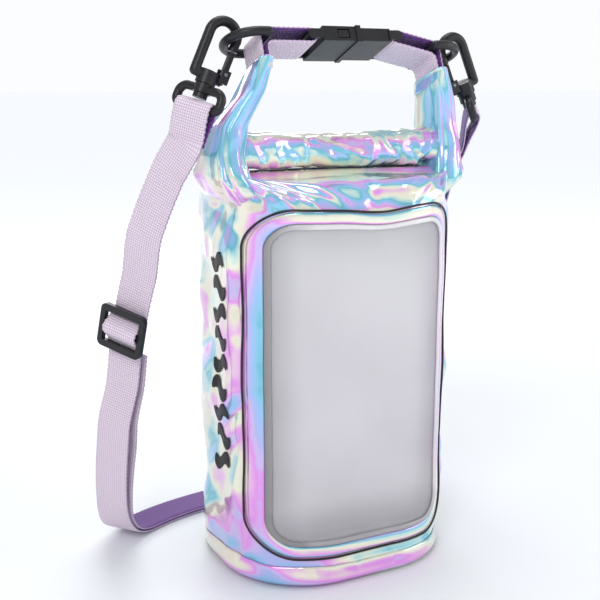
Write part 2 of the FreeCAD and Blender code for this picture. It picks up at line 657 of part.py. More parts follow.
# The strap's way from below the left eye, through the slider, over the floor behind the bag and
# up to the right eye: chosen points on its middle line, for a body of half width ROUTE_BODY and
# a handle at height ROUTE_HANDLE.
STRAP_ROUTE = [
    (-81.5, -8, 207), (-90, -2, 186), (-97, 6, 157),
    (-102.5, 14, 124),
    (-105, 18, 95), (-107, 23, 64), (-107, 30, 36), (-103, 39, 13),
    (-92, 51, 1.7), (-70, 63, 1.4), (-38, 71, 1.4), (0, 74, 1.4), (38, 71, 1.4), (66, 63, 1.7),
    (81, 55, 13), (85, 49, 38), (85, 42, 72), (83, 32, 112), (81, 19, 152), (80, 3, 190),
    (79.5, -6, 208),
]
ROUTE_HANDLE = 260.0
ROUTE_BODY = 60.0
SLIDER_AT = 3
# how far the returning inner layer lies from the outer one at each point from the slider on
LAYER_GAP = [2.1, 4.5, 6.5, 6.5, 4.0, 2.2, 1.9, 1.9, 1.9, 1.9, 1.9, 2.4, 4.0, 4.5, 4.5, 4.0, 3.0, 2.1]
LEFT_ACROSS = Vector(0.545, -0.838, 0)
RIGHT_ACROSS = Vector(-0.545, -0.838, 0)


def strap_frames(points, across_at):
    """Tangent, width direction and outward normal at each point of a webbing line."""
    frames = []
    last = len(points) - 1
    for k, here in enumerate(points):
        ahead = (points[min(k + 1, last)] - here)
        back = (here - points[max(k - 1, 0)])
        ahead = ahead if ahead.Length > 1e-9 else back
        back = back if back.Length > 1e-9 else ahead
        tangent = (ahead.normalize() + back.normalize()).normalize()
        across = across_at[k] - tangent * across_at[k].dot(tangent)
        across.normalize()
        frames.append((tangent, across, tangent.cross(across)))
    return frames


def ribbon(points, frames):
    """Webbing through the points: a loft with flat sides between rectangles."""
    width, thick = num("webbing_width") / 2, num("webbing_thick") / 2
    wires = []
    for here, (tangent, across, normal) in zip(points, frames):
        corners = [here + across * (a * width) + normal * (b * thick)
                   for a, b in ((-1, -1), (1, -1), (1, 1), (-1, 1), (-1, -1))]
        wires.append(Part.makePolygon(corners))
    return Part.makeLoft(wires, True, True)


def eye_turn_points(place, side, below):
    """The webbing's turn round an eye's bar, from the inner layer over the bar to the outer one."""
    bar = place.multVec(Vector(0, 0, num("eye_bar_w")))
    turn = Rotation(Vector(0, 0, 1), side * num("eye_turn"))
    across = place.Rotation.multVec(turn.multVec(Vector(1, 0, 0)))
    down = below - bar
    down = (down - across * down.dot(across)).normalize()
    out = across.cross(down).normalize()
    if out.x * side < 0:
        out = out * -1
    bend = num("eye_wire") + num("gap") + num("webbing_thick") / 2
    legs = [(num("sewn_loop"), num("sewn_half")), (num("sewn_middle"), num("sewn_middle_half")),
            (num("sewn_top"), num("sewn_top_half"))]
    spots = [(d, -n) for d, n in legs]
    spots += [(-bend * math.sin(math.radians(a)), -bend * math.cos(math.radians(a)))
              for a in (0, 45, 90, 135, 180)]
    spots += legs[::-1]
    return [bar + down * d + out * n for d, n in spots], across


def route_across():
    """The webbing's width direction along the route, turned evenly from one side to the other."""
    count = len(STRAP_ROUTE)
    lay = {k: LEFT_ACROSS for k in range(9)}
    lay.update({k: RIGHT_ACROSS for k in range(13, count)})
    lay.update({9: Vector(0.4, -0.9, 0), 10: Vector(0.2, -1, 0), 11: Vector(0, -1, 0),
                12: Vector(-0.2, -1, 0)})
    return [Vector(lay[k]) for k in range(count)]


def slider_weave(here, frame):
    """The webbing's way through the slider: behind, over the middle bar, behind."""
    tangent, across, normal = frame
    behind = num("slider_thick") / 2 + num("gap") + num("webbing_thick") / 2
    reach, slot, bar = num("weave_reach"), num("weave_slot"), num("weave_bar")
    over = behind + num("weave_rise")
    spots = [(-reach, -behind), (-slot, -behind), (-bar, over), (bar, over), (slot, -behind),
             (reach, -behind)]
    return [here + tangent * along + normal * off for along, off in spots]


def build_strap():
    left_place = hook_place(*HOOK_SIDES["left"])
    right_place = hook_place(*HOOK_SIDES["right"])
    # the route rises with the handle, and below the hooks it spreads with the body
    rise = num("handle_z") / ROUTE_HANDLE
    spread = num("body_half_width") / ROUTE_BODY - 1
    top = STRAP_ROUTE[-1][2]
    route = [Vector(x * (1 + spread * (1 - (z / top) ** 3)), y, z * rise) for x, y, z in STRAP_ROUTE]
    across = route_across()
    frames = strap_frames(route, across)
    # the width direction is chosen so that the normal points away from the bag
    left_turn, left_across = eye_turn_points(left_place, -1, route[0])
    right_turn, right_across = eye_turn_points(right_place, 1, route[-1])
    slider_frame = frames[SLIDER_AT]
    weave = slider_weave(route[SLIDER_AT], slider_frame)

    def laid(points, sides):
        return ribbon(points, strap_frames(points, sides))

    upper = left_turn + route[:SLIDER_AT] + weave[:3]
    level = slider_frame[1]
    upper_sides = [left_across] * len(left_turn) + across[:SLIDER_AT] + [level] * 3
    shape_piece("strap_left_end", laid(upper, upper_sides))

    main = [weave[3]] + weave[4:] + route[SLIDER_AT + 1:] + right_turn[:5:-1]
    flip = right_across if right_across.dot(RIGHT_ACROSS) > 0 else right_across * -1
    main_sides = [level] * 3 + across[SLIDER_AT + 1:] + [flip] * 5
    shape_piece("strap_main", laid(main, main_sides))

    inner = [p - f[2] * g for p, f, g in zip(route[SLIDER_AT:], frames[SLIDER_AT:], LAYER_GAP)]
    tangent, _, normal = slider_frame
    behind = num("slider_thick") / 2 + num("gap") + num("webbing_thick") / 2
    inner[0] = route[SLIDER_AT] + tangent * num("layer_end") - normal * (behind + num("layer_step"))
    back = inner + right_turn[:5]
    back_sides = across[SLIDER_AT:] + [flip] * 5
    shape_piece("strap_return", laid(back, back_sides))
    build_slider(route[SLIDER_AT], slider_frame)
    for name, points in (("left end", upper), ("main", main), ("return", back)):
        length = sum((b - a).Length for a, b in zip(points, points[1:]))
        print(f"strap {name}: {length:.0f} mm")


def build_slider(here, frame):
    """A three-bar slider: an outer frame and a middle bar."""
    tangent, across, normal = frame
    wide, long_half, thick = cell("slider_half_width"), cell("slider_half_length"), cell("slider_thick") / 2
    rim, bar, mid = cell("slider_rim"), cell("slider_bar"), cell("slider_mid_bar") / 2
    plate = rounded_sketch("slider_plan", PLAN, -wide, wide, -long_half, long_half, cell("slider_corner"))
    block = extrude("slider_block", plate, thick, -thick)
    inside, through = (-wide + rim, wide - rim), (-thick - 1, thick + 1)
    slots = [box("slider_slot0", inside, (-long_half + bar, -mid), through),
             box("slider_slot1", inside, (mid, long_half - bar), through)]
    slider = cut("slider_cut", block, fuse("slider_slots", slots))
    matrix = FreeCAD.Matrix(across.x, -tangent.x, normal.x, here.x,
                            across.y, -tangent.y, normal.y, here.y,
                            across.z, -tangent.z, normal.z, here.z, 0, 0, 0, 1)
    slider.Placement = Placement(matrix)
    keep("strap_slider", slider)


# ---------------------------------------------------------------- assembly

build_body()
build_pocket()
build_roll()
for name, (side, ring_x, drop) in HOOK_SIDES.items():
    buckle_x = num("socket_bar_x") if side < 0 else num("plug_bar_x")
    build_ear(f"{name}_ear", side, ring_x, drop)
    build_tab(f"{name}_tab_webbing", side, buckle_x, ring_x, drop)
    build_ring(f"{name}_d_ring", side, ring_x, drop)
    build_hook(name, side, ring_x, drop)
build_socket()
build_plug()
build_strap()
doc.recompute()

faults = [obj.Label for obj in doc.Objects if "Invalid" in obj.State or "Error" in obj.State]
for node, obj in PIECES.items():
    if obj.Shape.isNull() or not obj.Shape.isValid() or not obj.Shape.Solids:
        faults.append(node)
if faults:
    raise RuntimeError(f"failed: {faults}")

os.makedirs("parts", exist_ok=True)
for node, obj in PIECES.items():
    obj.Shape.exportStep(f"parts/{node}.step")
    bounds = obj.Shape.BoundBox
    print(f"{node:26s} volume {obj.Shape.Volume:10.1f} z {bounds.ZMin:7.1f} {bounds.ZMax:7.1f}")
print(len(PIECES), "sub-parts")
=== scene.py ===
import json
import logging
import math
from dataclasses import dataclass, field
from enum import Enum

import bmesh
import bpy
import numpy as np
from mathutils import Matrix, Vector

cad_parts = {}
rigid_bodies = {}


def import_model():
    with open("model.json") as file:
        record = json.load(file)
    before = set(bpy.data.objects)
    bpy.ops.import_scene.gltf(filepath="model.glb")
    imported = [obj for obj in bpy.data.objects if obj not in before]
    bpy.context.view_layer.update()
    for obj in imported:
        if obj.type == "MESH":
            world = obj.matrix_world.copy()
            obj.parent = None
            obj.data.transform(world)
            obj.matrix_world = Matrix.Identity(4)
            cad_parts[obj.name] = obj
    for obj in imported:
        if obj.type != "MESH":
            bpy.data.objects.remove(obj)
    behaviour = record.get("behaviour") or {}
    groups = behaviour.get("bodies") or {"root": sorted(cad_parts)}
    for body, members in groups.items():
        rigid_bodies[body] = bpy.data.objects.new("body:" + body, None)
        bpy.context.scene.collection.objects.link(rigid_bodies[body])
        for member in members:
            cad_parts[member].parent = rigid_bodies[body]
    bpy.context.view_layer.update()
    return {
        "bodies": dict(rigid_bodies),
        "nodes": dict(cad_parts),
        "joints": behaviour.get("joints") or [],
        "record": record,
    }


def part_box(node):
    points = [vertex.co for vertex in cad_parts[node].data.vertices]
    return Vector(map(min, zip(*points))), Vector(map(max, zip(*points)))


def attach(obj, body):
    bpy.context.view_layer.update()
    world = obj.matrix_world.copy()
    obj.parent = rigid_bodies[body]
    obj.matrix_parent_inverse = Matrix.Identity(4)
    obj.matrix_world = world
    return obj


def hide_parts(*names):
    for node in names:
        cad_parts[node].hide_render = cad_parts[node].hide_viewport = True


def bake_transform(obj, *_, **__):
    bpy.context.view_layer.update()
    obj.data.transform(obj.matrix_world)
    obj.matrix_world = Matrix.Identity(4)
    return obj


Array = np.ndarray
MM = 0.001
SHEET = 0.4 * MM  # drawn thickness of the film, the pane and the sleeve
THIN_SHEET = 0.3 * MM  # drawn thickness of welded strips and borders
HANDLE_TILT = math.radians(22.0)  # how far the handle is turned about its length
logging.basicConfig(level=logging.INFO, format="%(name)s: %(message)s")
LOG = logging.getLogger("dry_bag")


# ---------------------------------------------------------------- colours and shader maths


def rgb(red: float, green: float, blue: float) -> tuple[float, float, float, float]:
    """Linear colour from 0-255 display values.

    Args:
        red, green, blue: display values from 0 to 255.

    Returns:
        Linear red, green, blue and an alpha of 1.
    """
    channels = np.array([red, green, blue], float) / 255.0
    linear = np.where(channels <= 0.04045, channels / 12.92, ((channels + 0.055) / 1.055) ** 2.4)
    return (*(float(c) for c in linear), 1.0)


class Side(Enum):
    """The bag's two ends: the sign of their X and the names of their bodies."""

    LEFT = -1
    RIGHT = 1

    @property
    def word(self) -> str:
        """The side's name as the frame writes it."""
        return self.name.lower()


class Wave:
    """One number or colour that varies over a surface, with Python's operators for its maths."""

    def __init__(self, shader: "Shader", socket: bpy.types.NodeSocket) -> None:
        """Wraps an output socket of a shader's tree."""
        self.shader = shader
        self.socket = socket

    def _calc(self, operation: str, first: "Wave | float", second: "Wave | float") -> "Wave":
        """A Math node on two values."""
        return self.shader.node("ShaderNodeMath", {"operation": operation}, {0: first, 1: second})

    def __add__(self, other: "Wave | float") -> "Wave":
        """Sum."""
        return self._calc("ADD", self, other)

    def __sub__(self, other: "Wave | float") -> "Wave":
        """Difference."""
        return self._calc("SUBTRACT", self, other)

    def __mul__(self, other: "Wave | float") -> "Wave":
        """Product."""
        return self._calc("MULTIPLY", self, other)

    def __pow__(self, other: "Wave | float") -> "Wave":
        """Power."""
        return self._calc("POWER", self, other)

    __radd__ = __add__
    __rmul__ = __mul__

    def call(self, operation: str, other: "Wave | float" = 0.0) -> "Wave":
        """Any other Math operation, such as SINE, FRACT or GREATER_THAN."""
        return self._calc(operation, self, other)


class Shader:
    """A material's node tree around one Principled shader."""

    def __init__(self, name: str) -> None:
        """Starts an empty material with its output and its Principled shader."""
        self.material = bpy.data.materials.new(name)
        self.material.use_nodes = True
        self.tree = self.material.node_tree
        self.tree.nodes.clear()
        output = self.tree.nodes.new("ShaderNodeOutputMaterial")
        self.surface = self.tree.nodes.new("ShaderNodeBsdfPrincipled")
        self.tree.links.new(self.surface.outputs[0], output.inputs["Surface"])

    def _feed(self, socket: bpy.types.NodeSocket, value: object) -> None:
        """Sets a socket to a value, or links it."""
        if isinstance(value, Wave):
            self.tree.links.new(value.socket, socket)
        else:
            socket.default_value = value

    def node(self, kind: str, settings: dict, sockets: dict, output: int | str = 0) -> Wave:
        """Adds a node.

        Args:
            kind: the node's type.
            settings: its properties, set before its sockets; stops fills a ramp.
            sockets: values or links by input name or number.
            output: the output to use.

        Returns:
            The chosen output as a value.
        """
        made = self.tree.nodes.new(kind)
        for key, value in settings.items():
            if key == "stops":
                elements = made.color_ramp.elements
                while len(elements) < len(value):
                    elements.new(0.5)
                for element, (place, colour) in zip(elements, value):
                    element.position = place
                    element.color = colour
            else:
                setattr(made, key, value)
        for key, value in sockets.items():
            self._feed(made.inputs[key], value)
        return Wave(self, made.outputs[output])

    def place(self) -> Wave:
        """Object coordinates, in metres."""
        return self.node("ShaderNodeTexCoord", {}, {}, "Object")

    def uv(self, part: str) -> Wave:
        """The X or Y of the piece's own UV map."""
        map_node = self.node("ShaderNodeUVMap", {}, {})
        return self.node("ShaderNodeSeparateXYZ", {}, {0: map_node}, part)

    def attribute(self, name: str) -> Wave:
        """A number kept on the mesh."""
        return self.node("ShaderNodeAttribute", {"attribute_name": name}, {}, "Fac")

    def noise(self, scale: float, detail: float = 3.0) -> Wave:
        """Fractal noise from 0 to 1 over Object coordinates."""
        sockets = {"Vector": self.place(), "Scale": scale, "Detail": detail}
        return self.node("ShaderNodeTexNoise", {}, sockets, "Fac")

    def rise(self, value: Wave, low: float, high: float) -> Wave:
        """0 where a value is at low, 1 where it is at high, level beyond both."""
        return self.node("ShaderNodeMapRange", {}, {0: value, 1: low, 2: high})

    def blend(self, amount: "Wave | float", low: object, high: object) -> Wave:
        """A mix of two colours."""
        settings = {"data_type": "RGBA"}
        return self.node("ShaderNodeMix", settings, {"Factor": amount, 6: low, 7: high}, 2)

    def finish(self, relief: "Wave | None" = None, relief_height: float = 0.2 * MM,
               **sockets: object) -> bpy.types.Material:
        """Sets the Principled shader's sockets.

        Args:
            relief: a height from 0 to 1 for the bump.
            relief_height: that height's size in metres.
            sockets: values or links, with underscores for the spaces in the sockets' names.

        Returns:
            The finished material.
        """
        for key, value in sockets.items():
            self._feed(self.surface.inputs[key.replace("_", " ")], value)
        if relief is not None:
            bump = self.node("ShaderNodeBump", {}, {"Height": relief, "Distance": relief_height})
            self._feed(self.surface.inputs["Normal"], bump)
        return self.material


@dataclass(frozen=True)
class PearlFilm:
    """Iridescent film: its colour runs through a ring of pastels with the film_phase attribute."""

    name: str = "pearl_film"
    roughness: float = 0.12
    metallic: float = 0.32
    ring: tuple = (
        (0.00, (136, 202, 234)), (0.10, (156, 198, 246)), (0.20, (188, 188, 244)), (0.29, (212, 192, 242)),
        (0.37, (234, 150, 240)), (0.44, (240, 174, 236)), (0.51, (240, 204, 230)), (0.58, (244, 236, 216)),
        (0.70, (240, 242, 224)), (0.78, (206, 232, 222)), (0.86, (168, 220, 226)), (0.93, (108, 192, 208)),
        (1.00, (136, 202, 234)),
    )

    def material(self) -> bpy.types.Material:
        """Builds the finish."""
        shader = Shader(self.name)
        drift = shader.noise(26.0, 1.0)
        fine = shader.noise(420.0, 3.0)
        phase = (shader.attribute("film_phase") + (drift - 0.5) * 0.10 + (fine - 0.5) * 0.02).call("FRACT")
        stops = [(place, rgb(*colour)) for place, colour in self.ring]
        colour = shader.node("ShaderNodeValToRGB", {"stops": stops}, {0: phase})
        gloss = self.roughness + (shader.noise(55.0, 3.0) - 0.5) * 0.12
        return shader.finish(
            Base_Color=colour, Metallic=self.metallic, Roughness=gloss, Coat_Weight=1.0,
            Coat_Roughness=0.03, relief=shader.noise(160.0, 4.0), relief_height=0.25 * MM)


@dataclass(frozen=True)
class ClearFilm:
    """Clear film: a thin glossy sheet with faint handling marks.

    The last field sets the painted shade towards its left edge and its foot and the painted highlight at its
    top.
    """

    name: str
    tint: tuple[float, float, float]
    alpha: float
    roughness: float = 0.06
    dim: float = 0.0

    def material(self) -> bpy.types.Material:
        """Builds the finish."""
        shader = Shader(self.name)
        haze = shader.noise(24.0, 3.0)
        marks = shader.noise(90.0, 2.0)
        across = shader.node("ShaderNodeSeparateXYZ", {}, {0: shader.place()}, "X")
        level = shader.node("ShaderNodeSeparateXYZ", {}, {0: shader.place()}, "Z")
        # painted shade: darker towards the left edge and the foot; painted highlight: lighter towards the top
        at_left = shader.rise(across, -30.0 * MM, -50.0 * MM)
        at_foot = shader.rise(level, 40.0 * MM, 18.0 * MM)
        dim = (at_left + at_foot).call("MINIMUM", 1.0) * self.dim
        open_tone = shader.blend(haze, rgb(*self.tint), rgb(*(min(255.0, c * 1.08) for c in self.tint)))
        at_top = shader.rise(level + across * 0.6, 95.0 * MM, 185.0 * MM)
        with_painted_highlight = shader.blend(at_top * self.dim, open_tone, rgb(*(min(255.0, c * 1.22) for c in self.tint)))
        colour = shader.blend(dim, with_painted_highlight, rgb(*(c * 0.45 for c in self.tint)))
        cover = self.alpha + (haze - 0.5) * 0.12
        return shader.finish(
            Base_Color=colour, Alpha=cover, Roughness=self.roughness + (marks - 0.5) * 0.04,
            Coat_Weight=1.0, Coat_Roughness=0.02, relief=shader.noise(14.0, 1.0), relief_height=0.6 * MM)


@dataclass(frozen=True)
class MouldedPlastic:
    """Satin black acetal with a fine spark-eroded grain and lighter rubbed patches."""

    name: str = "moulded_plastic"
    tone: tuple[float, float, float] = (24, 24, 27)

    def material(self) -> bpy.types.Material:
        """Builds the finish."""
        shader = Shader(self.name)
        grain = shader.noise(2600.0, 4.0)
        rub = shader.noise(150.0, 3.0)
        colour = shader.blend(rub, rgb(*self.tone), rgb(*(c * 1.5 for c in self.tone)))
        return shader.finish(
            Base_Color=colour, Roughness=0.38 + (rub - 0.5) * 0.16, Specular_IOR_Level=0.35,
            Coat_Weight=0.12, Coat_Roughness=0.2, relief=grain, relief_height=0.06 * MM)


@dataclass(frozen=True)
class Webbing:
    """Flat woven webbing: pale lilac outside and vivid purple inside, one yarn crossing per UV unit."""

    name: str = "webbing"
    pale: tuple[float, float, float] = (250, 236, 247)
    shade: tuple[float, float, float] = (198, 170, 206)
    deep: tuple[float, float, float] = (134, 80, 172)
    deep_shade: tuple[float, float, float] = (72, 34, 110)

    def material(self) -> bpy.types.Material:
        """Builds the finish."""
        shader = Shader(self.name)
        across = (shader.uv("X") * math.pi).call("SINE").call("ABSOLUTE")
        along = (shader.uv("Y") * math.pi).call("SINE").call("ABSOLUTE")
        yarn = (across * along) ** 0.45
        fuzz = shader.noise(900.0, 3.0)
        tone = yarn * 0.85 + fuzz * 0.25
        outside = shader.blend(tone, rgb(*self.shade), rgb(*self.pale))
        inside = shader.blend(tone, rgb(*self.deep_shade), rgb(*self.deep))
        colour = shader.blend(shader.attribute("inner_face"), outside, inside)
        return shader.finish(
            Base_Color=colour, Roughness=0.62, Sheen_Weight=0.25, Sheen_Roughness=0.4,
            relief=yarn + fuzz * 0.3, relief_height=0.35 * MM)


@dataclass(frozen=True)
class PlainFinish:
    """A finish of one tone with a grain: ink, piping, thread, strips and pins."""

    name: str
    tone: tuple[float, float, float]
    roughness: float
    grain: float = 600.0
    metallic: float = 0.0
    height: float = 0.05 * MM

    def material(self) -> bpy.types.Material:
        """Builds the finish."""
        shader = Shader(self.name)
        grain = shader.noise(self.grain, 3.0)
        light = tuple(min(255.0, c * 1.25 + 3.0) for c in self.tone)
        return shader.finish(
            Base_Color=shader.blend(grain, rgb(*self.tone), rgb(*light)), Metallic=self.metallic,
            Roughness=self.roughness + (grain - 0.5) * 0.1, relief=grain, relief_height=self.height)


# ---------------------------------------------------------------- meshes from arrays


def mesh_object(name: str, points: Array, faces: list[Array], uv: Array | None = None,
                marks: dict[str, Array] | None = None, smooth: bool = True) -> bpy.types.Object:
    """A mesh object from whole arrays.

    Args:
        name: the piece's name.
        points: vertex places, n x 3, in metres.
        faces: index arrays of three or four columns.
        uv: one pair per vertex.
        marks: float attributes by name, one value per vertex.
        smooth: whether its faces are shaded smooth.

    Returns:
        The linked object.
    """
    mesh = bpy.data.meshes.new(name)
    corners = np.concatenate([f.ravel() for f in faces]).astype(np.int32)
    sizes = np.concatenate([np.full(len(f), f.shape[1]) for f in faces])
    starts = np.concatenate([[0], np.cumsum(sizes)[:-1]]).astype(np.int32)
    mesh.vertices.add(len(points))
    mesh.vertices.foreach_set("co", points.astype(np.float32).ravel())
    mesh.loops.add(len(corners))
    mesh.loops.foreach_set("vertex_index", corners)
    mesh.polygons.add(len(sizes))
    mesh.polygons.foreach_set("loop_start", starts)
    mesh.polygons.foreach_set("use_smooth", np.full(len(sizes), smooth))
    if uv is not None:
        layer = mesh.uv_layers.new(name="UVMap")
        layer.data.foreach_set("uv", uv[corners].astype(np.float32).ravel())
    for key, values in (marks or {}).items():
        mesh.attributes.new(key, "FLOAT", "POINT").data.foreach_set("value", values.astype(np.float32))
    mesh.update(calc_edges=True)
    mesh.validate()
    made = bpy.data.objects.new(name, mesh)
    bpy.context.scene.collection.objects.link(made)
    return made


def grid_faces(rows: int, columns: int, wrap_columns: bool = False, wrap_rows: bool = False) -> Array:
    """Quads of a grid of vertices numbered row by row; a wrap joins the last row or column to the first."""
    row = np.arange(rows if wrap_rows else rows - 1)[:, None]
    column = np.arange(columns if wrap_columns else columns - 1)[None, :]
    next_row, next_column = (row + 1) % rows, (column + 1) % columns
    quads = [row * columns + column, row * columns + next_column,
             next_row * columns + next_column, next_row * columns + column]
    return np.stack([np.broadcast_to(q, (row.size, column.size)) for q in quads], -1).reshape(-1, 4)


def end_fans(rows: int, columns: int, first: int, last: int) -> Array:
    """Triangles that close the first and last ring of a wrapped grid onto two centre vertices."""
    ring = np.arange(columns)
    step = (ring + 1) % columns
    low = np.stack([step, ring, np.full(columns, first)], -1)
    base = (rows - 1) * columns
    high = np.stack([base + ring, base + step, np.full(columns, last)], -1)
    return np.concatenate([low, high])


def closed_tube(name: str, rings: Array) -> bpy.types.Object:
    """A closed tube through rings of points, rows x columns x 3, with its two ends filled."""
    rows, columns = rings.shape[:2]
    points = np.concatenate([rings.reshape(-1, 3), rings[:1].mean(1), rings[-1:].mean(1)])
    fans = end_fans(rows, columns, rows * columns, rows * columns + 1)
    made = mesh_object(name, points, [grid_faces(rows, columns, True), fans])
    fix_normals(made)
    return made


def fix_normals(made: bpy.types.Object) -> None:
    """Turns a closed mesh's faces outwards."""
    shape = bmesh.new()
    shape.from_mesh(made.data)
    bmesh.ops.remove_doubles(shape, verts=shape.verts, dist=1e-7)
    bmesh.ops.recalc_face_normals(shape, faces=shape.faces)
    shape.to_mesh(made.data)
    shape.free()


def sweep(path: Array, radius: Array | float, sides: int = 12) -> Array:
    """Rings of a round tube: circles set square to the path, turned as little as possible along it.

    Args:
        path: points of the middle line, n x 3.
        radius: one radius, or one for each point.
        sides: points round each ring.

    Returns:
        Rings, n x sides x 3.
    """
    tangent = unit(np.gradient(path, axis=0))
    start = np.cross(tangent[0], [0.31, 0.17, 0.93])
    normals = np.empty_like(path)
    current = start / np.linalg.norm(start)
    for index, direction in enumerate(tangent):
        current = current - direction * current.dot(direction)
        current = current / np.linalg.norm(current)
        normals[index] = current
    second = np.cross(tangent, normals)
    angle = np.linspace(0.0, 2 * math.pi, sides, endpoint=False)
    size = np.broadcast_to(np.asarray(radius, float), (len(path),))[:, None, None]
    ring = np.cos(angle)[None, :, None] * normals[:, None] + np.sin(angle)[None, :, None] * second[:, None]
    return path[:, None] + size * ring


def unit(vectors: Array) -> Array:
    """Vectors scaled to length one."""
    return vectors / np.maximum(np.linalg.norm(vectors, axis=-1, keepdims=True), 1e-12)


def smoothstep(value: Array, low: float, high: float) -> Array:
    """0 below low, 1 above high, with a soft rise between."""
    ratio = np.clip((value - low) / (high - low), 0.0, 1.0)
    return ratio * ratio * (3.0 - 2.0 * ratio)


def resample(path: Array, spacing: float) -> Array:
    """Points spaced evenly along a line of points."""
    steps = np.linalg.norm(np.diff(path, axis=0), axis=1)
    reach = np.concatenate([[0.0], np.cumsum(steps)])
    count = max(3, int(round(reach[-1] / spacing)) + 1)
    at = np.linspace(0.0, reach[-1], count)
    return np.stack([np.interp(at, reach, path[:, k]) for k in range(3)], -1)


def soften(values: Array, passes: int) -> Array:
    """Averages each row with its neighbours a number of times; the two ends stay."""
    for _ in range(passes):
        inner = 0.25 * values[:-2] + 0.5 * values[1:-1] + 0.25 * values[2:]
        values = np.concatenate([values[:1], inner, values[-1:]])
    return values


def places_of(mesh: bpy.types.Mesh) -> Array:
    """A mesh's vertex places, n x 3, in metres."""
    flat = np.empty(len(mesh.vertices) * 3, np.float32)
    mesh.vertices.foreach_get("co", flat)
    return flat.reshape(-1, 3)


def coat(made: bpy.types.Object, finish: bpy.types.Material) -> None:
    """Makes a finish the piece's only one."""
    made.data.materials.clear()
    made.data.materials.append(finish)


def dress(made: bpy.types.Object, finish: bpy.types.Material, body: str) -> bpy.types.Object:
    """Gives a piece its finish and the body it rides on."""
    coat(made, finish)
    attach(made, body)
    return made


def thicken(made: bpy.types.Object, thickness: float, offset: float = -1.0) -> None:
    """Gives a sheet its thickness."""
    wall = made.modifiers.new("thickness", "SOLIDIFY")
    wall.thickness = thickness
    wall.offset = offset


# ---------------------------------------------------------------- the bag's form


@dataclass(frozen=True)
class RoundedLoop:
    """A rounded rectangle, walked at even steps of its first form's edge.

    A point is the corner circle's centre plus the radius times (cos angle, sin angle); on the straight
    stretches the angle stands still and the centre slides.
    """

    half_x: float
    half_y: float
    corner: float

    def walk(self, count: int) -> tuple[Array, Array, Array]:
        """Centre factors along x and y and the normal's angle at even steps, from the +y middle."""
        flat_x, flat_y = self.half_x - self.corner, self.half_y - self.corner
        bend = self.corner * math.pi / 2
        lengths = [flat_x, bend, 2 * flat_y, bend, 2 * flat_x, bend, 2 * flat_y, bend, flat_x]
        knots = np.concatenate([[0.0], np.cumsum(lengths)])
        at = np.linspace(0.0, knots[-1], count, endpoint=False)
        turn = math.pi / 2
        angles = turn * np.array([1, 1, 2, 2, 3, 3, 4, 4, 5, 5])
        slide_x = np.array([0, -1, -1, -1, -1, 1, 1, 1, 1, 0])
        slide_y = np.array([1, 1, 1, -1, -1, -1, -1, 1, 1, 1])
        return np.interp(at, knots, slide_x), np.interp(at, knots, slide_y), np.interp(at, knots, angles)

    def points(self, count: int, grow: float = 0.0) -> Array:
        """Points of the loop, or of one grown by a margin, count x 2."""
        x, y, angle = self.walk(count)
        radius = self.corner + grow
        return np.stack([x * (self.half_x - self.corner) + radius * np.cos(angle),
                         y * (self.half_y - self.corner) + radius * np.sin(angle)], -1)


def facets(across: Array, up: Array, size: float) -> Array:
    """Crumpled film's flat facets: a sum of triangle waves in five directions.

    Each wave is 4 x |fraction(u) - 1/2| - 1 of u = (place along its direction) / wavelength, bent a
    little by a slow sine so that no crease is quite straight; size scales the wavelengths.
    """
    bend_a = 3.5 * np.sin(up / (19.0 * size) + across / (43.0 * size))
    bend_b = 3.5 * np.sin(across / (23.0 * size) - up / (37.0 * size) + 1.0)
    total = np.zeros(np.broadcast(across, up).shape)
    # direction in degrees, wavelength, height and shift of each wave
    for angle, wave, level, shift in (
            (12, 46, 1.5, 0.1), (68, 33, 1.1, 0.4), (112, 52, 1.5, 0.7), (151, 29, 0.8, 0.2),
            (88, 71, 1.4, 0.55)):
        turn = math.radians(angle)
        place = (across + bend_a) * math.cos(turn) + (up + bend_b) * math.sin(turn)
        part = place / (wave * size) + shift
        total = total + level * size * (4.0 * np.abs(part - np.floor(part) - 0.5) - 1.0)
    return total * 0.62


class Creases:
    """Sharp folds in film: each is a tent-shaped ridge or groove along a short straight line."""

    def __init__(self, seed: int) -> None:
        """Starts with no folds and a seeded source of chance."""
        self.chance = np.random.default_rng(seed)
        self.folds: list[tuple[float, float, float, float, float, float]] = []

    def add(self, across: float, up: float, angle: float, length: float, width: float, depth: float) -> None:
        """One fold: its middle, its direction in degrees from level, length, half width and height, in mm."""
        self.folds.append((across, up, angle, length, width, depth))

    def scatter(self, count: int, across: tuple, up: tuple, angle: tuple, length: tuple,
                width: tuple, depth: tuple) -> None:
        """Folds by chance, each value drawn between two limits; half of them are grooves."""
        draw = self.chance.uniform
        for _ in range(count):
            sign = self.chance.choice((-1.0, 1.0))
            self.add(draw(*across), draw(*up), draw(*angle), draw(*length), draw(*width), sign * draw(*depth))

    def height(self, across: Array, up: Array) -> Array:
        """Sum of the folds: depth x tent(distance / width) x bell(place along the fold / length)."""
        total = np.zeros(np.broadcast(across, up).shape)
        for middle, level, angle, length, width, depth in self.folds:
            turn = math.radians(angle)
            along = (across - middle) * math.cos(turn) + (up - level) * math.sin(turn)
            aside = -(across - middle) * math.sin(turn) + (up - level) * math.cos(turn)
            tent = np.maximum(0.0, 1.0 - np.abs(aside) / width)
            total = total + depth * tent * np.exp(-((along / length) ** 2) * 2.0)
        return total


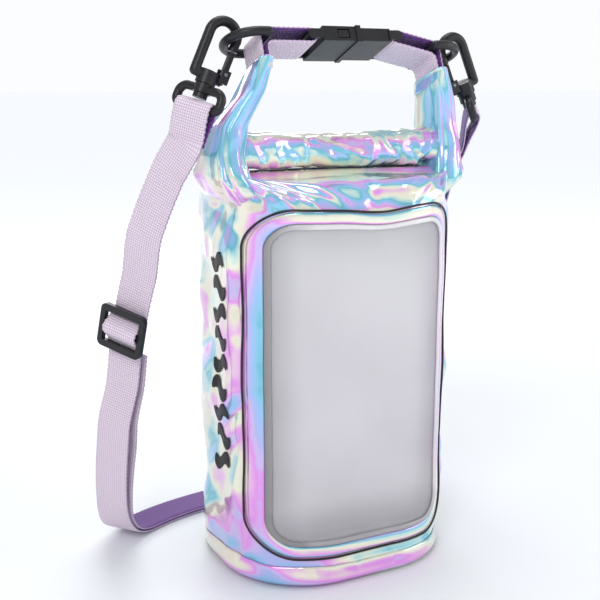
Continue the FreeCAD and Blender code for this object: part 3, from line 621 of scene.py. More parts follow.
@dataclass
class BagForm:
    """The bag's outer form in millimetres, shared by the tube and everything that lies on it."""

    half_width: float
    half_depth: float
    corner: float = 44.0
    shoulder: float = 188.0
    neck_z: float = 201.6
    roll_y: float = -13.5
    round_length: float = 372.0
    print_across: float = -86.0
    taut_middle: tuple[float, float] = (-4.5, 101.0)
    taut_half: tuple[float, float] = (59.3, 84.0)
    creases: Creases = field(default_factory=lambda: Creases(11))

    def __post_init__(self) -> None:
        """Sets out the folds: chance crumples and the gathers that lead up to the roll."""
        folds = self.creases
        folds.scatter(46, (-150, -62), (12, 186), (20, 160), (9, 26), (5, 13), (0.7, 2.0))
        folds.scatter(34, (-66, -50), (14, 192), (70, 110), (10, 30), (3, 8), (0.5, 1.3))
        folds.scatter(30, (60, 120), (12, 186), (40, 140), (9, 26), (5, 12), (0.6, 1.8))
        folds.scatter(44, (120, 250), (12, 186), (0, 180), (12, 34), (7, 16), (0.6, 1.8))
        folds.scatter(26, (-64, 64), (184, 197), (-35, 35), (10, 28), (3, 8), (0.5, 1.5))
        folds.scatter(10, (-50, 50), (3, 14), (-12, 12), (12, 30), (3, 7), (0.4, 1.0))
        for step in range(9):
            ratio = step / 8 - 0.5
            folds.add(110 * ratio, 192, 90 - 95 * ratio, 13, 4.0, 1.5 if step % 2 else -1.3)
        # the large folds: middle across, middle up, direction, length, half width and height
        for across, up, angle, length, width, depth in (
                (-74, 150, 84, 52, 7, 2.6), (-60, 172, 70, 30, 6, -1.8), (-92, 120, 98, 44, 9, -2.2),
                (-70, 60, 88, 40, 8, 1.8), (66, 165, 96, 44, 7, 2.0), (78, 110, 84, 40, 8, -1.6),
                (-84, 176, 60, 26, 6, 2.2), (-44, 190, 24, 30, 5, 1.8), (40, 190, 158, 34, 5, 2.0),
                (10, 189, 176, 40, 4, -1.6)):
            folds.add(across, up, angle, length, width, depth)

    def edge_distance(self, x: Array) -> Array:
        """Distance along the front from its middle to the place at x."""
        flat = self.half_width - self.corner
        beyond = np.clip((np.abs(x) - flat) / self.corner, 0.0, 1.0)
        return np.sign(x) * (np.minimum(np.abs(x), flat) + self.corner * np.arcsin(beyond))

    def front_y(self, x: Array) -> Array:
        """The front wall's y at x: flat in the middle, then the corner's arc."""
        flat = self.half_width - self.corner
        beyond = np.clip(np.abs(x) - flat, 0.0, self.corner * 0.999)
        return -(self.half_depth - self.corner) - np.sqrt(self.corner ** 2 - beyond ** 2)

    def front_normal(self, x: Array) -> Array:
        """The front wall's outward normal at x."""
        flat = self.half_width - self.corner
        lean = np.sign(x) * np.clip(np.abs(x) - flat, 0.0, self.corner * 0.999) / self.corner
        return np.stack([lean, -np.sqrt(1.0 - lean ** 2), np.zeros_like(lean)], -1)

    def tautness(self, across: Array, up: Array) -> Array:
        """How freely the film creases: little inside the pocket's outline and under the print."""
        aside = np.abs(across - self.taut_middle[0]) - self.taut_half[0]
        distance = np.maximum(aside, np.abs(up - self.taut_middle[1]) - self.taut_half[1])
        free = 0.14 + 0.86 * smoothstep(distance, 1.0, 9.0)
        on_print = np.exp(-(((across - self.print_across) / 13.0) ** 4) - ((up - 104.0) / 66.0) ** 8)
        return free * (1.0 - 0.55 * on_print)

    def ripple(self, across: Array, up: Array) -> Array:
        """How far the film stands in or out, in mm: slow swells, flat facets and the folds."""
        swell = 0.9 * np.sin(up / 23.0 + across / 31.0) + 0.7 * np.sin(up / 13.0 - across / 17.0 + 1.3)
        fade = smoothstep(up, 2.0, 12.0)
        rumple = 0.35 * swell + facets(across, up, 1.0) + 0.8 * self.creases.height(across, up)
        return fade * self.tautness(across, up) * rumple

    def on_front(self, x: Array, z: Array, lift: float) -> Array:
        """Places on the rippled front wall, lifted along its normal, in metres."""
        base = np.stack([x, self.front_y(x), z], -1)
        rise = lift + self.ripple(self.edge_distance(x), z)
        return (base + self.front_normal(x) * rise[..., None]) * MM


def film_marks(made: bpy.types.Object, reference: Array, start: Array, gain: float) -> None:
    """Writes film_phase: a slow start value plus the normal's lean away from the smooth form's normal.

    Args:
        made: the piece.
        reference: the smooth form's normals, one per vertex, or one for all.
        start: the phase before the creases, one per vertex.
        gain: how fast the colour turns with the lean.
    """
    mesh = made.data
    normals = np.empty(len(mesh.vertices) * 3, np.float32)
    mesh.vertex_normals.foreach_get("vector", normals)
    lean = normals.reshape(-1, 3) - reference
    phase = start + gain * (lean @ np.array([0.75, 0.35, 0.85]))
    attribute = mesh.attributes.get("film_phase") or mesh.attributes.new("film_phase", "FLOAT", "POINT")
    attribute.data.foreach_set("value", (phase + 8.0).astype(np.float32))


@dataclass
class FilmBody:
    """The film tube, its base, its welds and its window pocket."""

    form: BagForm
    film: bpy.types.Material
    clear: bpy.types.Material
    sleeve: bpy.types.Material
    piping: bpy.types.Material
    ink: bpy.types.Material
    columns: int = 268
    rows: int = 168
    pocket_left: float = 55.0
    pocket_right: float = 50.0
    pocket_low: float = 17.0
    pocket_high: float = 185.0
    pocket_corner: float = 18.0
    border: float = 6.5

    def pocket(self, shrink: float) -> tuple[RoundedLoop, Array]:
        """The pocket's outline drawn in by a margin, and its middle."""
        half_x = (self.pocket_left + self.pocket_right) / 2 - shrink
        half_z = (self.pocket_high - self.pocket_low) / 2 - shrink
        middle = np.array([self.pocket_right - self.pocket_left, self.pocket_high + self.pocket_low]) / 2
        return RoundedLoop(half_x, half_z, max(3.0, self.pocket_corner - shrink)), middle

    def outline(self, shrink: float, count: int) -> Array:
        """Points of the pocket's outline drawn in by a margin, as x and z, with the top edge dipping."""
        loop, middle = self.pocket(shrink)
        points = loop.points(count) + middle
        top = smoothstep(points[:, 1], middle[1] + 60.0, middle[1] + 84.0)
        dip = np.exp(-((points[:, 0] - 4.0) / 16.0) ** 2)
        points[:, 1] -= top * 2.2 * dip
        return points

    def phase(self, across: Array, up: Array) -> Array:
        """The film's resting colour: cyan at the pocket's left, lilac to its right and pink at the base."""
        start = 0.74 + 0.10 * np.sin(across / 26.0) + 0.12 * np.sin(up / 21.0 + across / 40.0)
        # middle across, middle up, half width, half height and place on the ring of colours
        patches = (
            (-52.0, 110.0, 11.0, 95.0, 0.01), (52.0, 150.0, 12.0, 60.0, 0.30), (50.0, 60.0, 12.0, 60.0, 0.46),
            (0.0, 8.0, 80.0, 14.0, 0.44), (-80.0, 80.0, 16.0, 60.0, 0.30), (0.0, 192.0, 60.0, 8.0, 0.05),
            (-84.0, 165.0, 14.0, 26.0, 0.88), (36.0, 194.0, 26.0, 6.0, 0.36))
        for middle, level, wide, tall, colour in patches:
            near = np.exp(-((across - middle) / wide) ** 2 - ((up - level) / tall) ** 2)
            start = start + near * (colour - 0.74)
        return start

    def build(self) -> None:
        """Builds the tube and everything welded to it or printed on it."""
        self.tube()
        self.pocket_border()
        self.weld_bead()
        self.pane()
        self.outline_cord()
        self.inner_sleeve()
        self.base_disc()
        self.foot_band()
        self.back_seam()
        self.side_print()

    def lay(self, made: bpy.types.Object, node: str, finish: bpy.types.Material,
            thickness: float = THIN_SHEET) -> None:
        """Gives a sheet its thickness and its finish, hides its node and sets it on the bag."""
        thicken(made, thickness)
        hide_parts(node)
        dress(made, finish, "bag")

    def tube(self) -> None:
        """The film tube: the body's loop carried up from the base's edge to the pinched neck.

        Each row is the rounded loop with its own half sizes, corner and middle, read from a short
        table of levels; the ripple then moves each point along the smooth form's normal.
        """
        form = self.form
        a, b, r = form.half_width, form.half_depth, form.corner
        # level, half width, half depth, corner radius and middle y
        levels = np.array([
            (0.2, a - 5.0, b - 5.0, r - 5.0, 0.0), (1.0, a - 2.0, b - 2.0, r - 2.0, 0.0),
            (4.5, a - 0.3, b - 0.3, r, 0.0), (10.0, a, b, r, 0.0), (184.0, a, b, r, 0.0),
            (190.5, a + 0.5, b - 3.0, r - 4.0, -0.5), (195.5, a + 1.0, b - 12.0, r - 12.0, -3.0),
            (198.5, a + 1.5, b - 25.0, r - 22.0, -8.0), (200.8, a + 2.0, 13.0, 12.0, -12.5),
            (form.neck_z, a + 2.0, 6.0, 5.6, form.roll_y)])
        loop = RoundedLoop(a, b, r)
        slide_x, slide_y, angle = loop.walk(self.columns)
        steps = np.concatenate([[0.0], np.cumsum(np.hypot(*np.diff(levels[:, [0, 2]], axis=0).T))])
        at = np.linspace(0.0, steps[-1], self.rows)
        z, half_x, half_y, corner, middle = (soften(np.interp(at, steps, levels[:, k]), 4) for k in range(5))
        x = slide_x * (half_x - corner)[:, None] + corner[:, None] * np.cos(angle)
        y = slide_y * (half_y - corner)[:, None] + corner[:, None] * np.sin(angle) + middle[:, None]
        smooth = np.stack([x, y, np.broadcast_to(z[:, None], x.shape)], -1)
        along = np.roll(smooth, -1, 1) - np.roll(smooth, 1, 1)
        upward = np.gradient(smooth, axis=0)
        normal = unit(np.cross(along, upward))
        perimeter = 4 * (a - r) + 4 * (b - r) + 2 * math.pi * r
        across = (np.arange(self.columns) / self.columns - 0.5) * perimeter
        across = np.broadcast_to(across, x.shape)
        reach = np.broadcast_to(at[:, None], x.shape)
        above = form.shoulder + (reach - form.shoulder) * 0.5
        height = np.where(reach > form.shoulder, above, smooth[..., 2])
        rise = form.ripple(across, height) * (1.0 - 0.75 * smoothstep(reach, steps[-1] - 9.0, steps[-1]))
        places = smooth + normal * rise[..., None]
        points = places.reshape(-1, 3)
        quads = grid_faces(self.rows, self.columns, True)
        points, quads, used = self.cut_window(points, smooth.reshape(-1, 3), quads)
        made = mesh_object("film_tube", points * MM, [quads])
        start = self.phase(across.reshape(-1)[used], height.reshape(-1)[used])
        film_marks(made, normal.reshape(-1, 3)[used], start, 1.8)
        LOG.info("tube: %.0f mm round", perimeter)
        self.lay(made, "body_tube", self.film, SHEET)

    def cut_window(self, points: Array, smooth: Array, quads: Array) -> tuple[Array, Array, Array]:
        """Opens the tube behind the window.

        The signed distance to the window's rounded outline is negative inside it. Points within a
        cell of the outline slide onto it, and the faces inside it go.
        """
        loop, middle = self.pocket(self.border - 1.0)
        offset = smooth[:, [0, 2]] - middle
        beyond = np.abs(offset) - (np.array([loop.half_x, loop.half_y]) - loop.corner)
        outside = np.maximum(beyond, 0.0)
        distance = np.linalg.norm(outside, axis=1) + np.minimum(beyond.max(1), 0.0) - loop.corner
        distance = np.where(smooth[:, 1] > 0.0, 99.0, distance)
        direction = np.sign(offset) * unit(np.where(beyond.max(1, keepdims=True) > 0.0, outside,
                                                    (beyond == beyond.max(1, keepdims=True)) * 1.0))
        near = np.abs(distance) < 0.75
        moved = points.copy()
        moved[:, [0, 2]] -= np.where(near, distance, 0.0)[:, None] * direction
        keep = distance[quads].mean(1) > -0.1
        used, numbered = np.unique(quads[keep], return_inverse=True)
        return moved[used], numbered.reshape(-1, 4), used

    def ring_on_front(self, name: str, outer: float, inner: float, low: float, crown: float,
                      across: int = 7, count: int = 520) -> tuple[bpy.types.Object, Array, Array]:
        """A band on the front between two margins: its section is flat with rounded edges.

        The band's middle lines come from the two outlines, and its height is
        low + crown x (1 - t^4) for t from -1 to 1 across it.
        """
        t = np.linspace(-1.0, 1.0, across)[:, None, None]
        edge_out, edge_in = self.outline(outer, count), self.outline(inner, count)
        flat = edge_out * (0.5 - t / 2) + edge_in * (0.5 + t / 2)
        height = low + crown * (1.0 - t[..., 0] ** 4)
        x, z = flat[..., 0], flat[..., 1]
        base = self.form.on_front(x, z, 0.0)
        normal = self.form.front_normal(x)
        points = base + normal * (np.broadcast_to(height, x.shape) * MM)[..., None]
        made = mesh_object(name, points.reshape(-1, 3), [grid_faces(across, count, True)])
        return made, x.ravel(), z.ravel()

    def pocket_border(self) -> None:
        """The iridescent border round the window."""
        border, x, z = self.ring_on_front("pocket_border", 0.0, self.border - 1.2, 0.35, 0.35, 9)
        across = self.form.edge_distance(x)
        film_marks(border, self.form.front_normal(x), self.phase(across, z), 1.6)
        self.lay(border, "window_frame", self.film)

    def weld_bead(self) -> None:
        """The raised clear weld along the window's edge."""
        bead, _, _ = self.ring_on_front("window_weld", self.border - 1.1, self.border + 1.6, 0.3, 0.9, 9)
        self.lay(bead, "window_weld_bead", self.sleeve)

    def pane(self) -> None:
        """The clear window: rings of the pocket's outline that shrink onto its middle."""
        count, rings = 360, 60
        edge = self.outline(self.border + 0.4, count)
        middle = edge.mean(0)
        scale = np.linspace(1.0, 0.0, rings + 1)[:-1, None, None]
        flat = middle + (edge - middle) * scale
        flat = np.concatenate([flat.reshape(-1, 2), middle[None]])
        climb = np.sin(np.clip((flat[:, 1] - 20) / 160, 0, 1) * math.pi)
        bulge = 0.5 + 0.9 * np.exp(-((flat[:, 0] / 40.0) ** 2)) * climb
        points = self.form.on_front(flat[:, 0], flat[:, 1], 0.0)
        points = points + self.form.front_normal(flat[:, 0]) * (bulge * MM)[:, None]
        points = points - np.array([0.0, -0.9 * MM, 0.0])
        last = (rings - 1) * count + np.arange(count)
        tip = np.stack([last, (rings - 1) * count + (np.arange(count) + 1) % count,
                        np.full(count, rings * count)], -1)
        pane = mesh_object("window_pane", points, [grid_faces(rings, count, True), tip])
        self.lay(pane, "window_film", self.clear, SHEET)

    def outline_cord(self) -> None:
        """The black piping round the pocket, a round cord that wanders a little."""
        count, sides, radius = 700, 10, 0.55 * MM
        line = self.outline(-0.9, count)
        path = self.form.on_front(line[:, 0], line[:, 1], 0.75)
        wander = 0.35 * np.sin(np.arange(count) / count * 2 * math.pi * 7)
        path = path + np.stack([wander, np.zeros(count), np.roll(wander, 40)], -1) * MM * 0.6
        rings = sweep(np.concatenate([path, path[:2]]), radius, sides)[1:-1]
        faces = grid_faces(len(rings), sides, True, True)
        cord = mesh_object("pocket_outline", rings.reshape(-1, 3), [faces])
        fix_normals(cord)
        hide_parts("pocket_piping")
        dress(cord, self.piping, "bag")

    def inner_sleeve(self) -> None:
        """The pocket's back wall: a soft clear sheet with long vertical waves, and its floor."""
        low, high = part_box("phone_sleeve")
        inset = 0.6 * MM
        count_x, count_z = 80, 90
        wall_y = high[1] - 0.5 * MM
        x = np.linspace(low[0] + inset, high[0] - inset, count_x)[None, :]
        z = np.linspace(low[2] + inset, high[2] - inset, count_z)[:, None]
        level = (z - low[2]) / (high[2] - low[2])
        wave = 0.5 * MM * (np.sin(x / (9 * MM) + 2.0 * level) + 0.6 * np.sin(x / (5 * MM) - 5.0 * level))
        wave = wave * np.sin(np.clip(level, 0.0, 1.0) * math.pi) ** 0.7
        wall = np.stack([x + 0 * z, wall_y + wave - 0.6 * MM, z + 0 * x], -1)
        reach = np.linspace(0.0, 1.0, 10)[:, None]
        front = self.form.front_y(x / MM) * MM + 2.4 * MM
        floor_y = wall[0, :, 1] * (1 - reach) + front * reach
        floor = np.stack([x + 0 * reach, floor_y, low[2] + inset + 0 * floor_y], -1)
        sheet = np.concatenate([floor[::-1], wall[1:]])
        made = mesh_object("phone_sleeve_sheet", sheet.reshape(-1, 3), [grid_faces(len(sheet), count_x)])
        self.lay(made, "phone_sleeve", self.sleeve, SHEET)

    def base_disc(self) -> None:
        """The base disc with its rounded rim."""
        form = self.form
        loop = RoundedLoop(form.half_width, form.half_depth, form.corner)
        count = 240
        # how far the rim's loop is grown, and its level
        rim = [(-43.5, 0.9), (-30.0, 0.35), (-16.0, 0.1), (-8.0, 0.02), (-5.2, 0.02), (-4.2, 0.3),
               (-4.0, 1.2), (-4.2, 2.4), (-5.2, 3.0), (-20.0, 3.0), (-43.5, 3.0)]
        rings = [np.concatenate([loop.points(count, grow), np.full((count, 1), z)], 1) for grow, z in rim]
        disc = closed_tube("base_disc", np.stack(rings) * MM)
        start = 0.44 + 0.1 * np.sin(np.arange(len(disc.data.vertices)) / 31.0)
        film_marks(disc, np.array([0.0, 0.0, -1.0]), start, 0.25)
        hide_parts("base_panel")
        dress(disc, self.film, "bag")

    def foot_band(self) -> None:
        """The weld band round the foot, laid on the rippled film."""
        form = self.form
        loop = RoundedLoop(form.half_width, form.half_depth, form.corner)
        rows, columns = 10, 600
        t = np.linspace(0.0, 1.0, rows)
        levels = 2.2 + 9.4 * t
        lift = 0.45 + 0.45 * np.sin(t * math.pi) ** 0.5
        grow = lift - 0.45 * (1 - smoothstep(levels, 2.0, 5.0))
        band_loop = np.stack([loop.points(columns, margin) for margin in grow])
        across = (np.arange(columns) / columns - 0.5) * form.round_length
        wobble = np.array([form.ripple(across, np.full(columns, z)) for z in levels])
        centre = unit(band_loop)
        places = band_loop + centre * wobble[..., None]
        rings = np.concatenate([places, np.broadcast_to(levels[:, None, None], (rows, columns, 1))], -1)
        band = mesh_object("base_weld", (rings * MM).reshape(-1, 3), [grid_faces(rows, columns, True)])
        start = self.phase(np.tile(across, rows), np.repeat(levels, columns)) + 0.05
        outward = np.concatenate([centre, np.zeros((rows, columns, 1))], -1)
        film_marks(band, outward.reshape(-1, 3), start, 0.8)
        self.lay(band, "base_weld_band", self.film)

    def back_seam(self) -> None:
        """The welded seam down the back, over the tube's ripples."""
        form = self.form
        low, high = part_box("rear_seam")
        rows, columns = 240, 15
        x = np.linspace(low[0], high[0], columns)[None, :] / MM
        z = np.linspace(low[2], high[2], rows)[:, None] / MM
        rise = form.ripple(form.round_length / 2 - np.abs(x) + 0 * z, z + 0 * x)
        crown = 0.8 * (1 - (x / 6.2) ** 6)
        seam = np.stack([x + 0 * z, form.half_depth + np.maximum(rise, 0) + crown + 0 * z, z + 0 * x], -1)
        strip = mesh_object("back_seam", (seam * MM).reshape(-1, 3), [grid_faces(rows, columns)[:, ::-1]])
        film_marks(strip, np.array([0.0, 1.0, 0.0]), np.full(rows * columns, 0.80), 0.9)
        self.lay(strip, "rear_seam", self.film)

    def side_print(self) -> None:
        """A printed column of plain wave bars down the left side, in black.

        Each bar is a strip whose middle line is a sine across the column, laid on the rippled film.
        """
        bars, top, pitch, half_width = 9, 158.0, 12.6, 8.4
        rows, columns = 9, 40
        t = np.linspace(-1.0, 1.0, columns)[None, :]
        s = np.linspace(-1.0, 1.0, rows)[:, None]
        across = self.form.print_across + half_width * t + 0 * s
        spread = 3.2 * s * np.sqrt(np.clip(1.02 - t ** 8, 0.0, 1.0))
        for number in range(bars):
            wave = 2.6 * np.sin(t * math.pi + math.pi * (number % 2))
            up = top - number * pitch + wave + spread
            points = self.on_side(across, up, 0.5)
            bar = mesh_object(f"side_print_{number}", points.reshape(-1, 3), [grid_faces(rows, columns)])
            thicken(bar, 0.1 * MM)
            dress(bar, self.ink, "bag")

    def on_side(self, across: Array, up: Array, lift: float) -> Array:
        """Places on the rippled wall at a distance along it from the front's middle, in metres."""
        form = self.form
        flat = form.half_width - form.corner
        bend = form.corner * math.pi / 2
        sign = np.sign(across)
        beyond = np.abs(across) - flat
        turn = np.clip(beyond / form.corner, 0.0, math.pi / 2)
        rest = np.maximum(beyond - bend, 0.0)
        normal = np.stack([sign * np.sin(turn), -np.cos(turn), 0 * turn], -1)
        x = sign * (np.minimum(np.abs(across), flat)) + form.corner * normal[..., 0]
        y = -(form.half_depth - form.corner) + form.corner * normal[..., 1] + rest
        rise = lift + form.ripple(across, up)
        return (np.stack([x, y, up + 0 * x], -1) + normal * rise[..., None]) * MM


@dataclass
class RolledTop:
    """The rolled neck and its two turned-up ends."""

    form: BagForm
    film: bpy.types.Material
    strip: bpy.types.Material

    def roll(self) -> None:
        """The roll: a rounded section carried along X, with a spiral step and crumples."""
        low, high = (np.array(v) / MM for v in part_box("rolled_closure"))
        columns, rows, around_roll, reach = 150, 190, 66.0, 60.0
        half_y, half_z = (high[1] - low[1]) / 2, (high[2] - low[2]) / 2
        section = RoundedLoop(half_y, half_z, 7.6).points(columns)
        x = np.linspace(-reach, reach, rows)
        creases = Creases(5)
        around = np.arange(columns) / columns * around_roll
        creases.scatter(70, (-60, 60), (0, around_roll), (20, 160), (5, 17), (2.5, 7), (0.5, 1.7))
        creases.scatter(30, (28, 62), (0, around_roll), (30, 150), (4, 12), (2, 5), (0.8, 2.0))
        for x0, angle in ((-46, 66), (-36, 76), (-20, 84), (14, 96), (30, 108), (44, 112), (52, 118)):
            creases.add(x0, 20, angle, 18, 4, 1.6)
        grid_x, grid_a = x[:, None] + 0 * around, around + 0 * x[:, None]
        rise = sum(creases.height(grid_x, grid_a + lap) for lap in (0.0, -around_roll, around_roll))
        seam = np.abs(grid_a / around_roll * 2.0 - 1.0)
        rise = rise * 0.8 + facets(grid_x, around_roll / 2 * seam, 0.5) * 0.9
        waist = 1.0 - 0.10 * np.exp(-((x / 34.0) ** 2)) + 0.05 * np.sin(x / 9.0)
        step = 0.9 * (around / around_roll - 0.5)
        middle = np.array([(low[1] + high[1]) / 2, (low[2] + high[2]) / 2])
        sag = -0.9 * np.exp(-((x / 40.0) ** 2)) + 1.6 * smoothstep(np.abs(x), 42.0, 60.0)
        outward = unit(section)
        radial = section[None] * waist[:, None, None] * 0.985 + outward[None] * (rise + step)[..., None] * 0.8
        places = np.stack([grid_x, middle[0] + radial[..., 0], middle[1] + radial[..., 1] + sag[:, None]], -1)
        made = closed_tube("roll", places * MM)
        vertices = places_of(made.data) / MM
        start = 0.60 + 0.16 * np.sin(vertices[:, 0] / 15.0 + 0.6) - 0.30 * np.exp(
            -((vertices[:, 0] - 4.0) / 24.0) ** 2) * smoothstep(vertices[:, 2], 208.0, 217.0)
        film_marks(made, np.array([0.0, -0.6, 0.6]), start, 0.8)
        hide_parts("rolled_closure", "roll_inner_turn")
        dress(made, self.film, "bag")

    def ear(self, side: Side) -> None:
        """One end of the roll: a flattened sleeve from the shoulder up to the webbing.

        Its section shrinks and leans from level to level; lengthwise pleats are cosines round it.
        """
        sign = side.value
        ear_high = np.array(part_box(f"{side.word}_ear")[1]) / MM
        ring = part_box(f"{side.word}_d_ring")
        bar_x = (ring[1][0] if sign < 0 else ring[0][0]) / MM + 2.2 * sign
        leg = abs(bar_x + sign * 1.75)
        top_z = ear_high[2] - 4.4
        levels = np.array([
            # z, middle x, middle y, half x, half y, lean of the level
            (182.0, 46.0, -6.0, 8.0, 20.0, 0.0), (191.0, 54.0, -8.0, 8.6, 22.5, 0.0),
            (199.0, 58.5, -11.5, 8.8, 18.5, 0.0), (210.0, 59.8, -13.3, 8.0, 13.6, 0.02),
            (222.0, 57.8, -14.0, 6.4, 11.8, 0.10), (236.0, leg + 4.6, -16.0, 4.8, 11.8, 0.26),
            (top_z, leg, -14.0 - (260.0 - top_z) * math.tan(HANDLE_TILT), 4.0, 12.2, HANDLE_TILT)])
        rows, columns = 90, 150
        at = np.linspace(0.0, 1.0, rows)
        knots = np.linspace(0.0, 1.0, len(levels))
        z, cx, cy, hx, hy, lean = (soften(np.interp(at, knots, levels[:, k]), 5) for k in range(6))
        turn = np.linspace(0.0, 2 * math.pi, columns, endpoint=False)
        power = 0.55
        cos, sin = np.cos(turn), np.sin(turn)
        round_x = np.sign(cos) * np.abs(cos) ** power
        round_y = np.sign(sin) * np.abs(sin) ** power
        creases = Creases(21 if sign < 0 else 22)
        creases.scatter(40, (0, 100), (0, 66), (70, 110), (14, 34), (2.5, 6), (0.4, 1.3))
        creases.scatter(22, (0, 100), (0, 30), (30, 150), (5, 14), (3, 6), (0.5, 1.4))
        around, up = turn / (2 * math.pi) * 100.0 + 0 * at[:, None], at[:, None] * 66.0 + 0 * turn
        pleats = 0.55 * np.cos(turn * 9 + 1.2)[None] * (0.4 + 0.6 * at[:, None])
        fold = 50.0 * np.abs(turn / math.pi - 1.0)[None] + 0 * at[:, None]
        crumple = creases.height(around, up) + 0.9 * facets(fold, up, 0.55)
        rise = crumple * (0.4 + 0.6 * (1 - at[:, None])) + pleats
        rise = rise * (1.0 - 0.6 * smoothstep(at[:, None], 0.86, 1.0))
        off_x = hx[:, None] * round_x + rise * cos
        off_y = hy[:, None] * round_y + rise * sin
        x = sign * (cx[:, None] + off_x)
        y = cy[:, None] + off_y * np.cos(lean)[:, None]
        height = z[:, None] - off_y * np.sin(lean)[:, None]
        wall = np.stack([x, y, height], -1)
        mouth = wall[-1:]
        centre = mouth.mean(1, keepdims=True)
        inner = centre + (mouth - centre) * np.array([0.80, 0.94, 1.0])
        deeper = inner - np.array([0.0, 0.0, 5.0])
        rings = np.concatenate([wall, inner, deeper])
        made = closed_tube(f"{side.word}_ear_film", rings * MM)
        vertices = places_of(made.data) / MM
        start = 0.86 + 0.16 * np.sin(vertices[:, 1] / 4.2) + 0.1 * np.sin(vertices[:, 2] / 17.0)
        film_marks(made, np.array([float(sign), 0.0, 0.2]), start, 0.6)
        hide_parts(f"{side.word}_ear")
        dress(made, self.film, "bag")
        LOG.info("%s ear: bar at %.1f mm", side.word, bar_x)

    def build(self, frame: dict) -> None:
        """Builds the roll and its ends, and dresses the strips in the roll's core."""
        self.roll()
        for side in Side:
            self.ear(side)
        for node in ("closure_stiffener_lower", "closure_stiffener_upper"):
            coat(frame["nodes"][node], self.strip)


# ---------------------------------------------------------------- moulded parts


@dataclass
class Moulding:
    """Moulded parts that keep their engineered shape and gain rounded edges."""

    plastic: bpy.types.Material
    pin: bpy.types.Material

    def round_off(self, frame: dict, node: str, body: str, radius: float) -> bpy.types.Object:
        """A merged copy of a node with bevelled edges, in the node's place.

        Args:
            frame: the loaded frame.
            node: the node's name.
            body: the body it rides on.
            radius: the bevel's width in metres.

        Returns:
            The new piece.
        """
        shape = bmesh.new()
        shape.from_mesh(frame["nodes"][node].data)
        bmesh.ops.remove_doubles(shape, verts=shape.verts, dist=2e-6)
        bmesh.ops.dissolve_limit(shape, angle_limit=math.radians(1.0), verts=shape.verts, edges=shape.edges)
        mesh = bpy.data.meshes.new(f"{node}_moulded")
        shape.to_mesh(mesh)
        shape.free()
        mesh.polygons.foreach_set("use_smooth", np.full(len(mesh.polygons), True))
        made = bpy.data.objects.new(f"{node}_moulded", mesh)
        bpy.context.scene.collection.objects.link(made)
        bevel = made.modifiers.new("rounded_edges", "BEVEL")
        bevel.width = radius
        bevel.segments = 3
        bevel.limit_method = "ANGLE"
        bevel.angle_limit = math.radians(28.0)
        even = made.modifiers.new("even_shading", "WEIGHTED_NORMAL")
        even.keep_sharp = True
        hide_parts(node)
        return dress(made, self.plastic, body)

    def build(self, frame: dict) -> None:
        """Dresses every moulded part and pin."""
        rounded = {
            "buckle_socket": ("bag", 0.6), "buckle_plug": ("plug", 0.6), "strap_slider": ("slider", 0.55),
            "buckle_prong_front": ("prong_front", 0.3), "buckle_prong_rear": ("prong_rear", 0.3),
            "left_hook_body": ("shoulder_strap", 0.3), "right_hook_body": ("shoulder_strap", 0.3),
            "left_hook_gate": ("left_gate", 0.3), "right_hook_gate": ("right_gate", 0.3),
            "left_swivel_eye": ("left_eye", 0.3), "right_swivel_eye": ("right_eye", 0.3),
            "left_d_ring": ("left_ring", 0.2), "right_d_ring": ("right_ring", 0.2)}
        for node, (body, radius) in rounded.items():
            self.round_off(frame, node, body, radius * MM)
        for node in ("left_gate_pin", "right_gate_pin"):
            coat(frame["nodes"][node], self.pin)


# ---------------------------------------------------------------- webbing


@dataclass
class Ribbon:
    """Webbing along a line: a flat section with toothed edges, in metres."""

    width: float = 20.0 * MM
    thick: float = 1.3 * MM
    pitch: float = 1.25 * MM
    tooth: float = 0.16 * MM

    def build(self, name: str, path: Array, across: Array, pale_out: bool = True) -> bpy.types.Object:
        """Webbing through the path.

        The surface is a closed loop round the section, carried along the path: the middle line plus
        a x the width direction plus b x the normal; the edges step in and out once per yarn.

        Args:
            name: the piece's name.
            path: even points of the middle line.
            across: the width direction at each point.
            pale_out: whether the pale face lies on the side of tangent x across.

        Returns:
            The piece.
        """
        tangent = unit(np.gradient(path, axis=0))
        wide = unit(across - tangent * (across * tangent).sum(1, keepdims=True))
        normal = np.cross(tangent, wide)
        count = 13
        half, deep = self.width / 2, self.thick / 2
        line = np.linspace(-1.0, 1.0, count)
        a = np.concatenate([line, [1.0], line[::-1], [-1.0]])
        edge = np.where(np.abs(a) > 0.99, 0.55, 1.0)
        b = np.concatenate([np.ones(count), [0.0], -np.ones(count), [0.0]]) * edge
        steps = np.linalg.norm(np.diff(path, axis=0), axis=1)
        reach = np.concatenate([[0.0], np.cumsum(steps)])
        teeth = self.tooth * np.sign(np.sin(reach / self.pitch * math.pi))
        side = np.abs(a) > 0.99
        offset = a[None] * (half + np.where(side[None], teeth[:, None], 0.0))
        rings = path[:, None] + wide[:, None] * offset[..., None]
        rings = rings + normal[:, None] * (b * deep)[None, :, None]
        rows, columns = rings.shape[:2]
        points = np.concatenate([rings.reshape(-1, 3), rings[:1].mean(1), rings[-1:].mean(1)])
        u = (a + 1) * half / self.pitch
        v = (reach / self.pitch)[:, None]
        uv = np.stack([np.broadcast_to(part, (rows, columns)) for part in (u, v)], -1).reshape(-1, 2)
        uv = np.concatenate([uv, uv[:1], uv[-1:]])
        inner = np.broadcast_to((b < 0.0) if pale_out else (b > 0.0), (rows, columns)).astype(float).ravel()
        inner = np.concatenate([inner, inner[:1], inner[-1:]])
        fans = end_fans(rows, columns, rows * columns, rows * columns + 1)
        quads = grid_faces(rows, columns, True)
        return mesh_object(name, points, [quads[:, ::-1], fans[:, ::-1]], uv, {"inner_face": inner})


